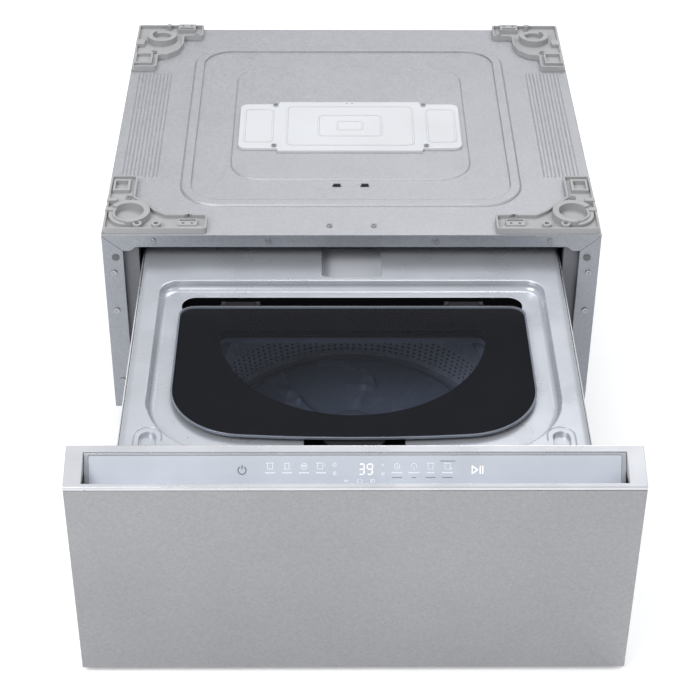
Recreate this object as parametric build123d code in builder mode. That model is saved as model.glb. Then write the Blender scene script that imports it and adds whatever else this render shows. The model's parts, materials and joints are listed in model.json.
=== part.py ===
"""A pedestal drawer washer: a small top-load tub in a drawer that slides out of a low steel cabinet.

Millimetres. +X is the viewer's right, +Y goes to the rear, +Z is up. The origin is on the floor, in
the middle of the whole object as it stands with its drawer open.
"""

from build123d import *
from math import cos, radians, sin
import os

os.makedirs("parts", exist_ok=True)

# Driving dimensions of the cabinet
WIDTH = 686.0
CABINET_DEPTH = 619.0
CABINET_TOP = 345.0
CABINET_BOTTOM = 47.5
SHEET = 1.2
FLANGE_WIDTH = 28.0
RAIL_HEIGHT = 20.0
BRACKET_HEIGHT = 14.0
REAR_STUB = 32.0

# Driving dimensions of the drawer, all given with the drawer open
DRAWER_TRAVEL = 427.0
DRAWER_GAP = 3.0
FRONT_THICKNESS = 55.0
FRONT_BOTTOM = 8.0
FRONT_TOP = 327.0
FRONT_LIP_TOP = 307.0
COVER_TOP = 305.0
COVER_THICKNESS = 3.0
DISH_DEPTH = 14.0
CASE_HALF_WIDTH = 270.0
CASE_BOTTOM = 56.0
CASE_TOP = 268.0
CASE_LENGTH = 535.0

# Driving dimensions of the lid and the tub
LID_HALF_WIDTH = 231.0
LID_TOP = 301.0
GLASS = 5.0
TUB_RADIUS = 236.0
TUB_WALL = 3.0
TUB_BOTTOM = 98.0
TUB_TOP = 258.0
BASKET_RADIUS = 212.0
BASKET_BOTTOM = 108.0
SHAFT_RADIUS = 12.5
RUNNING = 0.05
FREE = 0.4

# Places worked out from the driving dimensions
HALF = WIDTH / 2
FRONT_Y = (DRAWER_TRAVEL + DRAWER_GAP + FRONT_THICKNESS - CABINET_DEPTH - REAR_STUB) / 2
REAR_Y = FRONT_Y + CABINET_DEPTH
DRAWER_BACK_Y = FRONT_Y - DRAWER_TRAVEL - DRAWER_GAP
DRAWER_FACE_Y = DRAWER_BACK_Y - FRONT_THICKNESS
CASE_REAR_Y = DRAWER_BACK_Y + CASE_LENGTH
TUB_Y = FRONT_Y - 162.0
SHEET_UNDER = CABINET_TOP - SHEET
DISH_FLOOR = COVER_TOP - DISH_DEPTH
HINGE_Y = FRONT_Y - 90.0
HINGE_Z = LID_TOP - 12.0
SIDES = (("left", -1), ("right", 1))


def save(part, name):
    """Labels one finished piece and writes it to its own file."""
    part.label = name
    export_step(part, f"parts/{name}.step")


def block(x_range, y_range, z_range, mode=Mode.ADD):
    """Adds a box, given by its limits on each axis, to the part being built."""
    size = [abs(high - low) for low, high in (x_range, y_range, z_range)]
    middle = [(high + low) / 2 for low, high in (x_range, y_range, z_range)]
    with Locations(tuple(middle)):
        Box(*size, mode=mode)


def upright(x, y, radius, z_low, z_high, mode=Mode.ADD):
    """Adds a vertical cylinder to the part being built."""
    with Locations((x, y, (z_low + z_high) / 2)):
        Cylinder(radius, z_high - z_low, mode=mode)


def crosswise(y, z, radius, x_low, x_high, mode=Mode.ADD):
    """Adds a cylinder along X to the part being built."""
    with Locations(((x_low + x_high) / 2, y, z)):
        Cylinder(radius, x_high - x_low, rotation=(0, 90, 0), mode=mode)


def lengthwise(x, z, radius, y_low, y_high, mode=Mode.ADD):
    """Adds a cylinder along Y to the part being built."""
    with Locations((x, (y_low + y_high) / 2, z)):
        Cylinder(radius, y_high - y_low, rotation=(90, 0, 0), mode=mode)


def mirrored(part, side):
    """The part itself on the left, or its mirror image on the right."""
    return part if side < 0 else mirror(part, Plane.YZ)


# ---------------------------------------------------------------- cabinet sheet metal

RAIL_SCREWS_X = (-273.0, -115.0, 115.0, 273.0)
RAIL_SCREW_Z = CABINET_TOP - 10.0
JAMB_SCREW_X = HALF - 13.5
JAMB_SCREWS_Z = (CABINET_TOP - 62.0, CABINET_TOP - 126.0, CABINET_TOP - 250.0)
JAMB_PLUG_X = HALF - 17.5
JAMB_PLUG_Z = CABINET_TOP - 37.0
SCREW_HOLE = 2.3
MITRE_DROP = 26.5
SEAM = 0.6
JAMB_STEP = 9.0
JAMB_PLATE = 21.0
PAN_SHEET = 1.5
FOOT_X = HALF - 29.0
FOOT_YS = (("front", FRONT_Y + 38.0), ("rear", REAR_Y - 38.0))
FOOT_STEM = 5.0


def side_panel(side, name):
    """One side of the cabinet, folded at the front into a flange, a return and an inner jamb."""
    inner = HALF - FLANGE_WIDTH
    with BuildPart() as panel:
        with BuildSketch(Plane.XY.offset(CABINET_BOTTOM)):
            with BuildLine():
                Polyline(
                    (-HALF, REAR_Y),
                    (-HALF, FRONT_Y),
                    (-inner, FRONT_Y),
                    (-inner, FRONT_Y + JAMB_STEP),
                    (-inner + JAMB_PLATE, FRONT_Y + JAMB_STEP),
                    (-inner + JAMB_PLATE, FRONT_Y + JAMB_STEP + 16),
                    (-inner + JAMB_PLATE - SHEET, FRONT_Y + JAMB_STEP + 16),
                    (-inner + JAMB_PLATE - SHEET, FRONT_Y + JAMB_STEP + SHEET),
                    (-inner - SHEET, FRONT_Y + JAMB_STEP + SHEET),
                    (-inner - SHEET, FRONT_Y + SHEET),
                    (-HALF + SHEET, FRONT_Y + SHEET),
                    (-HALF + SHEET, REAR_Y),
                    close=True,
                )
            make_face()
        extrude(amount=SHEET_UNDER - CABINET_BOTTOM)
        # The mitred top corner of the flange, where the top rail's flange meets it
        with BuildSketch(Plane.XZ.offset(-FRONT_Y + 1)):
            with BuildLine():
                Polyline(
                    (-HALF, SHEET_UNDER - 0.5 - SEAM),
                    (-inner, CABINET_TOP - MITRE_DROP - SEAM),
                    (-inner + 3, CABINET_TOP - MITRE_DROP - SEAM),
                    (-inner + 3, CABINET_TOP + 1),
                    (-HALF, CABINET_TOP + 1),
                    close=True,
                )
            make_face()
        extrude(amount=-(1 + SHEET), mode=Mode.SUBTRACT)
        for z in JAMB_SCREWS_Z:
            lengthwise(-JAMB_SCREW_X, z, SCREW_HOLE, FRONT_Y - 1, FRONT_Y + 3, mode=Mode.SUBTRACT)
        lengthwise(-JAMB_PLUG_X, JAMB_PLUG_Z, 3.6, FRONT_Y - 1, FRONT_Y + 3, mode=Mode.SUBTRACT)
    save(mirrored(panel.part, side), name)


def front_top_rail():
    """The rail over the drawer, with mitred ends and a small curved tab beside each seam."""
    seam_x = HALF - FLANGE_WIDTH
    low = CABINET_TOP - MITRE_DROP
    rail_low = CABINET_TOP - RAIL_HEIGHT
    with BuildPart() as rail:
        with BuildSketch(Plane.XZ.offset(-FRONT_Y)):
            with BuildLine():
                Line((-HALF, SHEET_UNDER), (-HALF, SHEET_UNDER - 0.5))
                Line((-HALF, SHEET_UNDER - 0.5), (-seam_x, low))
                Line((-seam_x, low), (-seam_x + 8, low))
                Spline(
                    (-seam_x + 8, low),
                    (-seam_x + 20, rail_low),
                    tangents=((1, 0), (1, 0)),
                )
                Line((-seam_x + 20, rail_low), (0, rail_low))
                Line((0, rail_low), (0, SHEET_UNDER))
                Line((0, SHEET_UNDER), (-HALF, SHEET_UNDER))
            make_face()
            mirror(about=Plane.YZ)
        extrude(amount=-SHEET)
        # The web runs back under the top sheet and turns down again
        span = (-seam_x + 24, seam_x - 24)
        block(span, (FRONT_Y + SHEET, FRONT_Y + 18), (rail_low, rail_low + SHEET))
        block(span, (FRONT_Y + 18 - SHEET, FRONT_Y + 18), (rail_low + SHEET, SHEET_UNDER))
        for x in RAIL_SCREWS_X:
            lengthwise(x, RAIL_SCREW_Z, SCREW_HOLE, FRONT_Y - 1, FRONT_Y + 3, mode=Mode.SUBTRACT)
    save(rail.part, "front_top_rail")


def front_bottom_rail():
    """The flat rail under the drawer opening, between the two side panels."""
    inner = HALF - FLANGE_WIDTH - 1
    top = CABINET_BOTTOM + 6
    with BuildPart() as rail:
        block((-inner, inner), (FRONT_Y, FRONT_Y + SHEET), (CABINET_BOTTOM, top))
        block((-inner, inner), (FRONT_Y + SHEET, FRONT_Y + 8), (top - SHEET, top))
    save(rail.part, "front_bottom_rail")


def base_pan():
    """The cabinet's floor: a sheet with turned-up edges, pressed ribs and a plate over each foot."""
    edge = HALF - SHEET
    low = CABINET_BOTTOM
    front = FRONT_Y + 26
    rear = REAR_Y - SHEET
    with BuildPart() as pan:
        block((-edge, edge), (front, rear), (low, low + PAN_SHEET))
        block((-edge, -edge + PAN_SHEET), (front, rear), (low, low + 8))
        block((edge - PAN_SHEET, edge), (front, rear), (low, low + 8))
        block((-edge, edge), (rear - PAN_SHEET, rear), (low, low + 8))
        for x in (-150, 0, 150):
            block((x - 14, x + 14), (front + 60, rear - 90), (low + PAN_SHEET, low + 4.5))
            block((x - 12.5, x + 12.5), (front + 61.5, rear - 91.5), (low, low + 3), mode=Mode.SUBTRACT)
        for side in (-1, 1):
            for _, y in FOOT_YS:
                upright(side * FOOT_X, y, 16, low, low + 5)
                upright(side * FOOT_X, y, FOOT_STEM + FREE, low - 1, low + 6, mode=Mode.SUBTRACT)
    save(pan.part, "base_pan")


INLET_X = (205.0, 250.0)
INLET_Z = 120.0
INLET_RADIUS = 13.2
DRAIN_X = 130.0
DRAIN_Z = 105.0
DRAIN_RADIUS = 11.0
GLAND_X = -250.0
GLAND_Z = 105.0
GLAND_BORE = 4.6


def rear_panel():
    """The back sheet, stamped with a shallow raised field and holed for water, drain and cord."""
    edge = HALF - SHEET
    y_in = REAR_Y - SHEET
    field_z = 240
    with BuildPart() as panel:
        block((-edge, edge), (y_in, REAR_Y), (CABINET_BOTTOM, SHEET_UNDER))
        with BuildSketch(Plane.XZ.offset(-REAR_Y)):
            with Locations((0, field_z)):
                RectangleRounded(520, 140, 20)
        extrude(amount=-3)
        with BuildSketch(Plane.XZ.offset(-y_in)):
            with Locations((0, field_z)):
                RectangleRounded(520 - 2 * SHEET, 140 - 2 * SHEET, 20 - SHEET)
        extrude(amount=-3, mode=Mode.SUBTRACT)
        with BuildSketch(Plane.XZ.offset(-REAR_Y - 3)):
            with GridLocations(0, 36, 1, 3):
                with Locations((0, field_z)):
                    SlotOverall(440, 9)
        extrude(amount=-1.5)
        for x in INLET_X:
            lengthwise(x, INLET_Z, 15, y_in - 1, REAR_Y + 1, mode=Mode.SUBTRACT)
        lengthwise(DRAIN_X, DRAIN_Z, 14, y_in - 1, REAR_Y + 1, mode=Mode.SUBTRACT)
        lengthwise(GLAND_X, GLAND_Z, 9, y_in - 1, REAR_Y + 1, mode=Mode.SUBTRACT)
    save(panel.part, "rear_panel")


# ---------------------------------------------------------------- top sheet and what sits on it

RIDGE_HALF_WIDTH = 243.0
RIDGE_FRONT = 72.0
RIDGE_REAR = 553.0
RIDGE_BAND = 15.0
RIDGE_HEIGHT = 3.0
FIELD_HALF_WIDTH = 174.0
FIELD_FRONT = 143.0
FIELD_REAR = 487.0
BEAD_X = (-325.0, -314.0, -303.0, -292.0, -281.0)
BEAD_FRONT = 150.0
BEAD_REAR = 468.0
LOCK_TAB_X = 20.0
LOCK_TAB_Y = 128.0
LOCK_SCREW_X = 30.5
LOCK_SCREW_Y = 22.0
COVER_PLATE_Y = (218.0, 364.0)


def outline(half_width, front, rear, radius, z):
    """A private rounded rectangle on a level plane, given from the cabinet's front plane."""
    middle = FRONT_Y + (front + rear) / 2
    with BuildSketch(Plane.XY.offset(z), mode=Mode.PRIVATE) as shape:
        with Locations((0, middle)):
            RectangleRounded(2 * half_width, rear - front, radius)
    return shape.sketch


def top_plate():
    """The top sheet with its stamped frame, inner field and rows of stiffening beads."""
    band = RIDGE_BAND
    with BuildPart() as plate:
        block((-HALF, HALF), (FRONT_Y, REAR_Y), (SHEET_UNDER, CABINET_TOP))
        fillet(plate.edges().filter_by(Axis.X).group_by(Axis.Y)[0].sort_by(Axis.Z)[-1], SHEET * 0.9)
        extrude(outline(RIDGE_HALF_WIDTH, RIDGE_FRONT, RIDGE_REAR, 58, CABINET_TOP), RIDGE_HEIGHT)
        chamfer(plate.faces().sort_by(Axis.Z)[-1].edges(), 2.2)
        hollow = outline(
            RIDGE_HALF_WIDTH - band, RIDGE_FRONT + band, RIDGE_REAR - band, 58 - band, CABINET_TOP
        )
        extrude(hollow, RIDGE_HEIGHT, mode=Mode.SUBTRACT)
        extrude(
            outline(FIELD_HALF_WIDTH, FIELD_FRONT, FIELD_REAR, 48, CABINET_TOP), RIDGE_HEIGHT * 0.6
        )
        chamfer(
            plate.faces().filter_by_position(
                Axis.Z, CABINET_TOP + RIDGE_HEIGHT * 0.59, CABINET_TOP + RIDGE_HEIGHT * 0.61
            ).edges(),
            1.5,
        )
        bead_middle = FRONT_Y + (BEAD_FRONT + BEAD_REAR) / 2
        spots = [(x, bead_middle) for x in BEAD_X] + [(-x, bead_middle) for x in BEAD_X]
        with BuildSketch(Plane.XY.offset(CABINET_TOP)):
            with Locations(*spots):
                SlotOverall(BEAD_REAR - BEAD_FRONT, 6.5, rotation=90)
        extrude(amount=1.6, taper=35)
        for x in (-LOCK_TAB_X, LOCK_TAB_X):
            block(
                (x - 6, x + 6),
                (FRONT_Y + LOCK_TAB_Y - 2, FRONT_Y + LOCK_TAB_Y + 2),
                (340, 350),
                mode=Mode.SUBTRACT,
            )
        for x in (-LOCK_SCREW_X, LOCK_SCREW_X):
            upright(
                x, FRONT_Y + LOCK_SCREW_Y, SCREW_HOLE, SHEET_UNDER - 1, CABINET_TOP + 1, mode=Mode.SUBTRACT
            )
        for x, y in BRACKET_SCREWS:
            upright(x, y, SCREW_HOLE, SHEET_UNDER - 1, CABINET_TOP + 1, mode=Mode.SUBTRACT)
            upright(-x, y, SCREW_HOLE, SHEET_UNDER - 1, CABINET_TOP + 1, mode=Mode.SUBTRACT)
    save(plate.part, "top_plate")


STEP_X = 107.0
PLATE_HALF = 165.0
PLATE_RISE = 4.5
PLATE_SCREWS = ((-112.0, 230.0), (112.0, 230.0), (-112.0, 352.0), (112.0, 352.0))


def access_outline(inset, z):
    """The private stepped outline of the access cover, drawn in by an inset."""
    front, rear = COVER_PLATE_Y
    middle = FRONT_Y + (front + rear) / 2
    deep = rear - front
    with BuildSketch(Plane.XY.offset(z), mode=Mode.PRIVATE) as shape:
        with Locations((0, middle)):
            Rectangle(2 * (STEP_X - inset), deep - 2 * inset)
            Rectangle(2 * (PLATE_HALF - inset), deep - 14 - 2 * inset)
        ends = shape.vertices().group_by(Axis.X)[0] + shape.vertices().group_by(Axis.X)[-1]
        steps = [corner for corner in shape.vertices() if corner not in ends]
        fillet(steps, 3)
        ends = shape.vertices().group_by(Axis.X)[0] + shape.vertices().group_by(Axis.X)[-1]
        fillet(ends, 12 - inset)
    return shape.sketch


def access_cover():
    """The painted cover over the opening in the top sheet, with nested stamped outlines."""
    front, rear = COVER_PLATE_Y
    middle = FRONT_Y + (front + rear) / 2
    low = CABINET_TOP + RIDGE_HEIGHT * 0.6
    top = low + PLATE_RISE
    with BuildPart() as cover:
        extrude(access_outline(0, low), PLATE_RISE)
        fillet(cover.faces().sort_by(Axis.Z)[-1].edges(), 1.2)
        extrude(access_outline(SHEET, low), PLATE_RISE - SHEET, mode=Mode.SUBTRACT)
        stamps = ((0, 190, 118, 10), (-136, 44, 100, 8), (136, 44, 100, 8), (0, 96, 64, 8), (0, 40, 28, 5))
        for x, wide, deep, radius in stamps:
            with BuildSketch(Plane.XY.offset(top)):
                with Locations((x, middle)):
                    RectangleRounded(wide, deep, radius)
                    RectangleRounded(wide - 5, deep - 5, radius - 2.5, mode=Mode.SUBTRACT)
            extrude(amount=0.7)
        for x, y in PLATE_SCREWS:
            upright(x, FRONT_Y + y, SCREW_HOLE, low - 1, top + 1, mode=Mode.SUBTRACT)
        for x in (-4, 4):
            upright(x, FRONT_Y + rear - 5, 1.2, low - 1, top + 1, mode=Mode.SUBTRACT)
    save(cover.part, "access_cover")


def pan_head(x, y, z, head, shank):
    """Adds an upright screw with a cross recess, its head's underside at z."""
    upright(x, y, head, z, z + 2.2)
    upright(x, y, SCREW_HOLE - 0.1, z - shank, z)
    block((x - 2.2, x + 2.2), (y - 0.45, y + 0.45), (z + 1.2, z + 3), mode=Mode.SUBTRACT)
    block((x - 0.45, x + 0.45), (y - 2.2, y + 2.2), (z + 1.2, z + 3), mode=Mode.SUBTRACT)


def face_screw(x, z):
    """Adds a screw that faces the front, its head on the front plane."""
    lengthwise(x, z, 4.2, FRONT_Y - 2, FRONT_Y)
    lengthwise(x, z, SCREW_HOLE - 0.1, FRONT_Y, FRONT_Y + 7)
    face = (FRONT_Y - 3, FRONT_Y - 1.2)
    block((x - 2.2, x + 2.2), face, (z - 0.45, z + 0.45), mode=Mode.SUBTRACT)
    block((x - 0.45, x + 0.45), face, (z - 2.2, z + 2.2), mode=Mode.SUBTRACT)


def loose_fasteners():
    """The screws and plugs of the cabinet, each kind a group of separate solids."""
    with BuildPart() as top_screws:
        for x, y in PLATE_SCREWS:
            pan_head(x, FRONT_Y + y, CABINET_TOP + RIDGE_HEIGHT * 0.6 + PLATE_RISE, 3.6, 4)
        for x in (-LOCK_SCREW_X, LOCK_SCREW_X):
            pan_head(x, FRONT_Y + LOCK_SCREW_Y, CABINET_TOP, 3.8, 8)
        for side in (-1, 1):
            for x, y in BRACKET_SCREWS:
                pan_head(side * x, y, CABINET_TOP + BRACKET_BASE, 4.2, 8)
    save(top_screws.part, "top_screws")
    with BuildPart() as front_screws:
        for x in RAIL_SCREWS_X:
            face_screw(x, RAIL_SCREW_Z)
        for x in (-JAMB_SCREW_X, JAMB_SCREW_X):
            for z in JAMB_SCREWS_Z:
                face_screw(x, z)
    save(front_screws.part, "front_frame_screws")
    with BuildPart() as plugs:
        for x in (-JAMB_PLUG_X, JAMB_PLUG_X):
            lengthwise(x, JAMB_PLUG_Z, 5.2, FRONT_Y - 1, FRONT_Y)
            lengthwise(x, JAMB_PLUG_Z, 3.5, FRONT_Y, FRONT_Y + 4)
    save(plugs.part, "front_frame_plugs")


# ---------------------------------------------------------------- corner brackets

FRONT_SEAT = (307.0, 40.0, 20.0)
REAR_SEAT = (-300.0, CABINET_DEPTH - 45.0, 15.5)
BRACKET_BASE = 4.0
BRACKET_TOP = CABINET_TOP + BRACKET_HEIGHT
SCREW_POSTS = ((294.0, 11.5), (268.0, 11.5))
FRONT_BRACKET_SCREWS = ((312.0, FRONT_Y + 88.0), (225.0, FRONT_Y + 32.0))
REAR_BRACKET_SCREWS = ((310.0, REAR_Y - 90.0), (245.0, REAR_Y - 32.0))
BRACKET_SCREWS = FRONT_BRACKET_SCREWS + REAR_BRACKET_SCREWS


def crescent(x, y, inner, outer, z, open_from, open_to):
    """A private ring on a level plane, with a mouth between two directions in degrees."""
    with BuildSketch(Plane.XY.offset(z), mode=Mode.PRIVATE) as shape:
        with Locations((x, y)):
            Circle(outer)
            Circle(inner, mode=Mode.SUBTRACT)
        with BuildLine():
            low, high = radians(open_from), radians(open_to)
            reach = 2 * outer
            Polyline(
                (x, y),
                (x + reach * cos(low), y + reach * sin(low)),
                (x + 1.2 * reach * cos((low + high) / 2), y + 1.2 * reach * sin((low + high) / 2)),
                (x + reach * cos(high), y + reach * sin(high)),
                close=True,
            )
        make_face(mode=Mode.SUBTRACT)
    return shape.sketch


def front_bracket(side, name):
    """A front corner bracket: an L-shaped plate with a foot seat, screw posts and a clip."""
    seat_x, seat_in, seat_r = FRONT_SEAT
    seat_x *= side
    seat_y = FRONT_Y + seat_in
    z0 = CABINET_TOP
    z1 = CABINET_TOP + BRACKET_BASE
    z2 = BRACKET_TOP
    outline_points = (
        (HALF - 2, 2),
        (HALF - 2, 142),
        (303, 142),
        (303, 85),
        (284, 66),
        (272, 51),
        (256, 39),
        (199, 39),
        (199, 2),
    )
    with BuildPart() as bracket:
        with BuildSketch(Plane.XY.offset(z0)) as plate:
            with BuildLine():
                Polyline(*[(side * x, FRONT_Y + y) for x, y in outline_points], close=True)
            make_face()
            fillet(plate.vertices(), 5)
        extrude(amount=BRACKET_BASE)
        # Rim walls round the plate
        with BuildSketch(Plane.XY.offset(z1)):
            add(plate.sketch_local)
            offset(plate.sketch_local, amount=-3, mode=Mode.SUBTRACT)
        extrude(amount=5)
        upright(seat_x, seat_y, seat_r + 9, z1, z1 + 5)
        upright(seat_x, seat_y, seat_r + 3, z1, z1 + 7)
        mouth = (150, 262) if side < 0 else (-82, 30)
        extrude(crescent(seat_x, seat_y, seat_r, seat_r + 8.5, z1, *mouth), z2 - z1)
        upright(seat_x, seat_y, seat_r, z1 - 1, z2 + 1, mode=Mode.SUBTRACT)
        for x, y in SCREW_POSTS:
            upright(side * x, FRONT_Y + y, 6.5, z1, z2 - 2)
        block((side * 238, side * 212), (FRONT_Y + 8, FRONT_Y + 24), (z1, z2 - 3))
        block((side * 244, side * 206), (FRONT_Y + 4, FRONT_Y + 9), (z1, z1 + 5))
        block((side * 336, side * 312), (FRONT_Y + 102, FRONT_Y + 132), (z1, z1 + 5))
        for y in (50, 75):
            block((side * (HALF - 2), side * 327), (FRONT_Y + y - 4, FRONT_Y + y + 4), (z1, z2 - 3))
        for x, y in SCREW_POSTS:
            upright(side * x, FRONT_Y + y, 3.2, z1, z2 + 1, mode=Mode.SUBTRACT)
        block((side * 236, side * 214), (FRONT_Y + 18, FRONT_Y + 22), (z1, z2), mode=Mode.SUBTRACT)
        for x in (231, 219):
            upright(side * x, FRONT_Y + 13, 2.0, z1, z2, mode=Mode.SUBTRACT)
        block((side * 333, side * 316), (FRONT_Y + 106, FRONT_Y + 128), (z1 - 1, z2), mode=Mode.SUBTRACT)
        for x, y in FRONT_BRACKET_SCREWS:
            upright(side * x, y, 7, z1, z2, mode=Mode.SUBTRACT)
            upright(side * x, y, SCREW_HOLE, z0 - 1, z2, mode=Mode.SUBTRACT)
    save(bracket.part, name)


def rear_bracket(side, name):
    """A rear corner bracket: a smaller plate with a seat, a stepped arc, a pin and a clip."""
    seat_x, seat_in, seat_r = REAR_SEAT
    seat_y = FRONT_Y + seat_in
    z0 = CABINET_TOP
    z1 = CABINET_TOP + BRACKET_BASE
    z2 = BRACKET_TOP
    back = REAR_Y - 1.5
    with BuildPart() as bracket:
        with BuildSketch(Plane.XY.offset(z0)) as plate:
            with BuildLine():
                Polyline(
                    (-HALF + 2, back),
                    (-HALF + 2, FRONT_Y + 474),
                    (-303, FRONT_Y + 474),
                    (-303, FRONT_Y + 513),
                    (-288, FRONT_Y + 515),
                    (-272, FRONT_Y + 530),
                    (-265, FRONT_Y + 552),
                    (-265, FRONT_Y + 580),
                    (-235, FRONT_Y + 580),
                    (-235, back),
                    close=True,
                )
            make_face()
            fillet(plate.vertices(), 4)
        extrude(amount=BRACKET_BASE)
        with BuildSketch(Plane.XY.offset(z1)):
            add(plate.sketch_local)
            offset(plate.sketch_local, amount=-3, mode=Mode.SUBTRACT)
        extrude(amount=5)
        upright(seat_x, seat_y, seat_r + 8, z1, z1 + 5)
        extrude(crescent(seat_x, seat_y, seat_r, seat_r + 8, z1, 20, 130), z2 - z1)
        upright(seat_x, seat_y, seat_r, z1 - 1, z2 + 1, mode=Mode.SUBTRACT)
        block((-276, -248), (REAR_Y - 22, REAR_Y - 3), (z1, z2 - 3))
        upright(-291, REAR_Y - 10, 4, z1, z2 - 1)
        block((-HALF + 2, -327), (FRONT_Y + 548, FRONT_Y + 565), (z1, z2 - 4))
        block((-339, -311), (FRONT_Y + 486, FRONT_Y + 521), (z1, z1 + 5))
        block((-336, -314), (FRONT_Y + 490, FRONT_Y + 517), (z1, z2), mode=Mode.SUBTRACT)
        block((-273, -251), (REAR_Y - 20, REAR_Y - 15), (z1, z2), mode=Mode.SUBTRACT)
        for x in (-269, -255):
            upright(x, REAR_Y - 8, 2.0, z1, z2, mode=Mode.SUBTRACT)
        for x, y in REAR_BRACKET_SCREWS:
            upright(-x, y, 6.5, z1, z2, mode=Mode.SUBTRACT)
            upright(-x, y, SCREW_HOLE, z0 - 1, z2, mode=Mode.SUBTRACT)
    save(mirrored(bracket.part, side), name)


# ---------------------------------------------------------------- cabinet internals

SLIDE_Z = 178.0
SLIDE_WEB = 290.0
SLIDE_LENGTH = 560.0
SLIDE_FRONT = 32.0


def channel(side, web_x, thick, lip_x, half_height, y_range):
    """Adds a C-shaped rail lying along Y, its web and its lips given by their distances from the middle."""
    inward = 1 if lip_x > web_x else -1
    outer = sorted((side * web_x, side * lip_x))
    hollow = sorted((side * (web_x + inward * thick), side * (lip_x + inward * thick)))
    block(outer, y_range, (SLIDE_Z - half_height, SLIDE_Z + half_height))
    long_range = (y_range[0] - 1, y_range[1] + 1)
    tall_range = (SLIDE_Z - half_height + thick, SLIDE_Z + half_height - thick)
    block(hollow, long_range, tall_range, mode=Mode.SUBTRACT)


def slides():
    """Two telescopic slides: cabinet rails on their carriers, middle rails and drawer rails."""
    rear = FRONT_Y + SLIDE_FRONT + SLIDE_LENGTH - 22
    with BuildPart() as outer:
        for _, side in SIDES:
            channel(side, SLIDE_WEB, 1.8, 273.0, 25, (FRONT_Y + SLIDE_FRONT, rear))
            for y in (FRONT_Y + 60, rear - 60):
                wall = sorted((side * SLIDE_WEB, side * (HALF - SHEET)))
                hollow = sorted((side * (SLIDE_WEB + 2), side * (HALF - SHEET - 2)))
                block(wall, (y - 20, y + 20), (SLIDE_Z - 22, SLIDE_Z + 22))
                block(hollow, (y - 21, y + 21), (SLIDE_Z - 20, SLIDE_Z + 30), mode=Mode.SUBTRACT)
    save(outer.part, "slide_outers")
    middle_y = FRONT_Y + SLIDE_FRONT - DRAWER_TRAVEL / 2
    for word, side in SIDES:
        with BuildPart() as middle:
            channel(side, SLIDE_WEB - 2.8, 1.6, 275.5, 21.5, (middle_y, middle_y + 530))
        save(middle.part, f"slide_middle_{word}")
    inner_y = DRAWER_BACK_Y + 12
    with BuildPart() as inner:
        for _, side in SIDES:
            channel(side, CASE_HALF_WIDTH, 1.8, 281.5, 17, (inner_y, inner_y + 515))
    save(inner.part, "slide_inners")


def inlet_valve():
    """The twin inlet valve: a body inside the rear panel, two threaded spigots and two coils."""
    with BuildPart() as valve:
        low, high = INLET_X
        block((low - 18, high + 18), (REAR_Y - SHEET - 34, REAR_Y - SHEET), (INLET_Z - 18, INLET_Z + 18))
        fillet(valve.edges().filter_by(Axis.Y), 5)
        for x in INLET_X:
            lengthwise(x, INLET_Z, INLET_RADIUS, REAR_Y - SHEET - 1, REAR_Y + 18)
            for n in range(5):
                y = REAR_Y + 3 + 3 * n
                with Locations(Location((x, y, INLET_Z), (90, 0, 0))):
                    Torus(INLET_RADIUS - 0.6, 0.9, mode=Mode.SUBTRACT)
            lengthwise(x, INLET_Z, 8.5, REAR_Y - 12, REAR_Y + 19, mode=Mode.SUBTRACT)
            upright(x, REAR_Y - SHEET - 17, 12, INLET_Z + 18, INLET_Z + 52)
    save(valve.part, "inlet_valve")


def drain_outlet():
    """The ribbed drain spigot on its flange."""
    with BuildPart() as outlet:
        lengthwise(DRAIN_X, DRAIN_Z, 20, REAR_Y, REAR_Y + 4)
        lengthwise(DRAIN_X, DRAIN_Z, 13.5, REAR_Y - 20, REAR_Y)
        lengthwise(DRAIN_X, DRAIN_Z, DRAIN_RADIUS, REAR_Y + 4, REAR_Y + REAR_STUB)
        lengthwise(DRAIN_X, DRAIN_Z, 8.5, REAR_Y - 21, REAR_Y + REAR_STUB + 1, mode=Mode.SUBTRACT)
    save(outlet.part, "drain_outlet")


def cord_gland():
    """The grommet where the power cord passes the rear panel."""
    with BuildPart() as gland:
        lengthwise(GLAND_X, GLAND_Z, 13, REAR_Y, REAR_Y + 5)
        lengthwise(GLAND_X, GLAND_Z, 8.6, REAR_Y - 8, REAR_Y + 14)
        lengthwise(GLAND_X, GLAND_Z, GLAND_BORE, REAR_Y - 9, REAR_Y + 15, mode=Mode.SUBTRACT)
        chamfer(gland.edges().filter_by(GeomType.CIRCLE).group_by(Axis.Y)[-1].sort_by(Edge.length)[-1], 1)
    save(gland.part, "cord_gland")


def control_box():
    """The main control's sealed box on the inside of the rear panel."""
    y_high = REAR_Y - SHEET
    with BuildPart() as box:
        block((-300, -110), (y_high - 42, y_high), (180, 320))
        fillet(box.edges().filter_by(Axis.Y), 8)
        block((-296, -114), (y_high - 38, y_high - 3), (184, 316), mode=Mode.SUBTRACT)
        for z in (200, 225, 250, 275, 300):
            block((-290, -120), (y_high - 44, y_high - 42), (z - 3, z + 3))
    save(box.part, "control_box")


def ballast():
    """The cast weight along the back of the base that balances the open drawer."""
    with BuildPart() as weight:
        block((-230, 110), (REAR_Y - SHEET - 58, REAR_Y - SHEET - 24), (CABINET_BOTTOM + PAN_SHEET, 165))
        fillet(weight.edges().filter_by(Axis.Y), 10)
    save(weight.part, "ballast_weight")


LOCK_BOLT_Y = 26.0
LOCK_STROKE = 16.0


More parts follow.
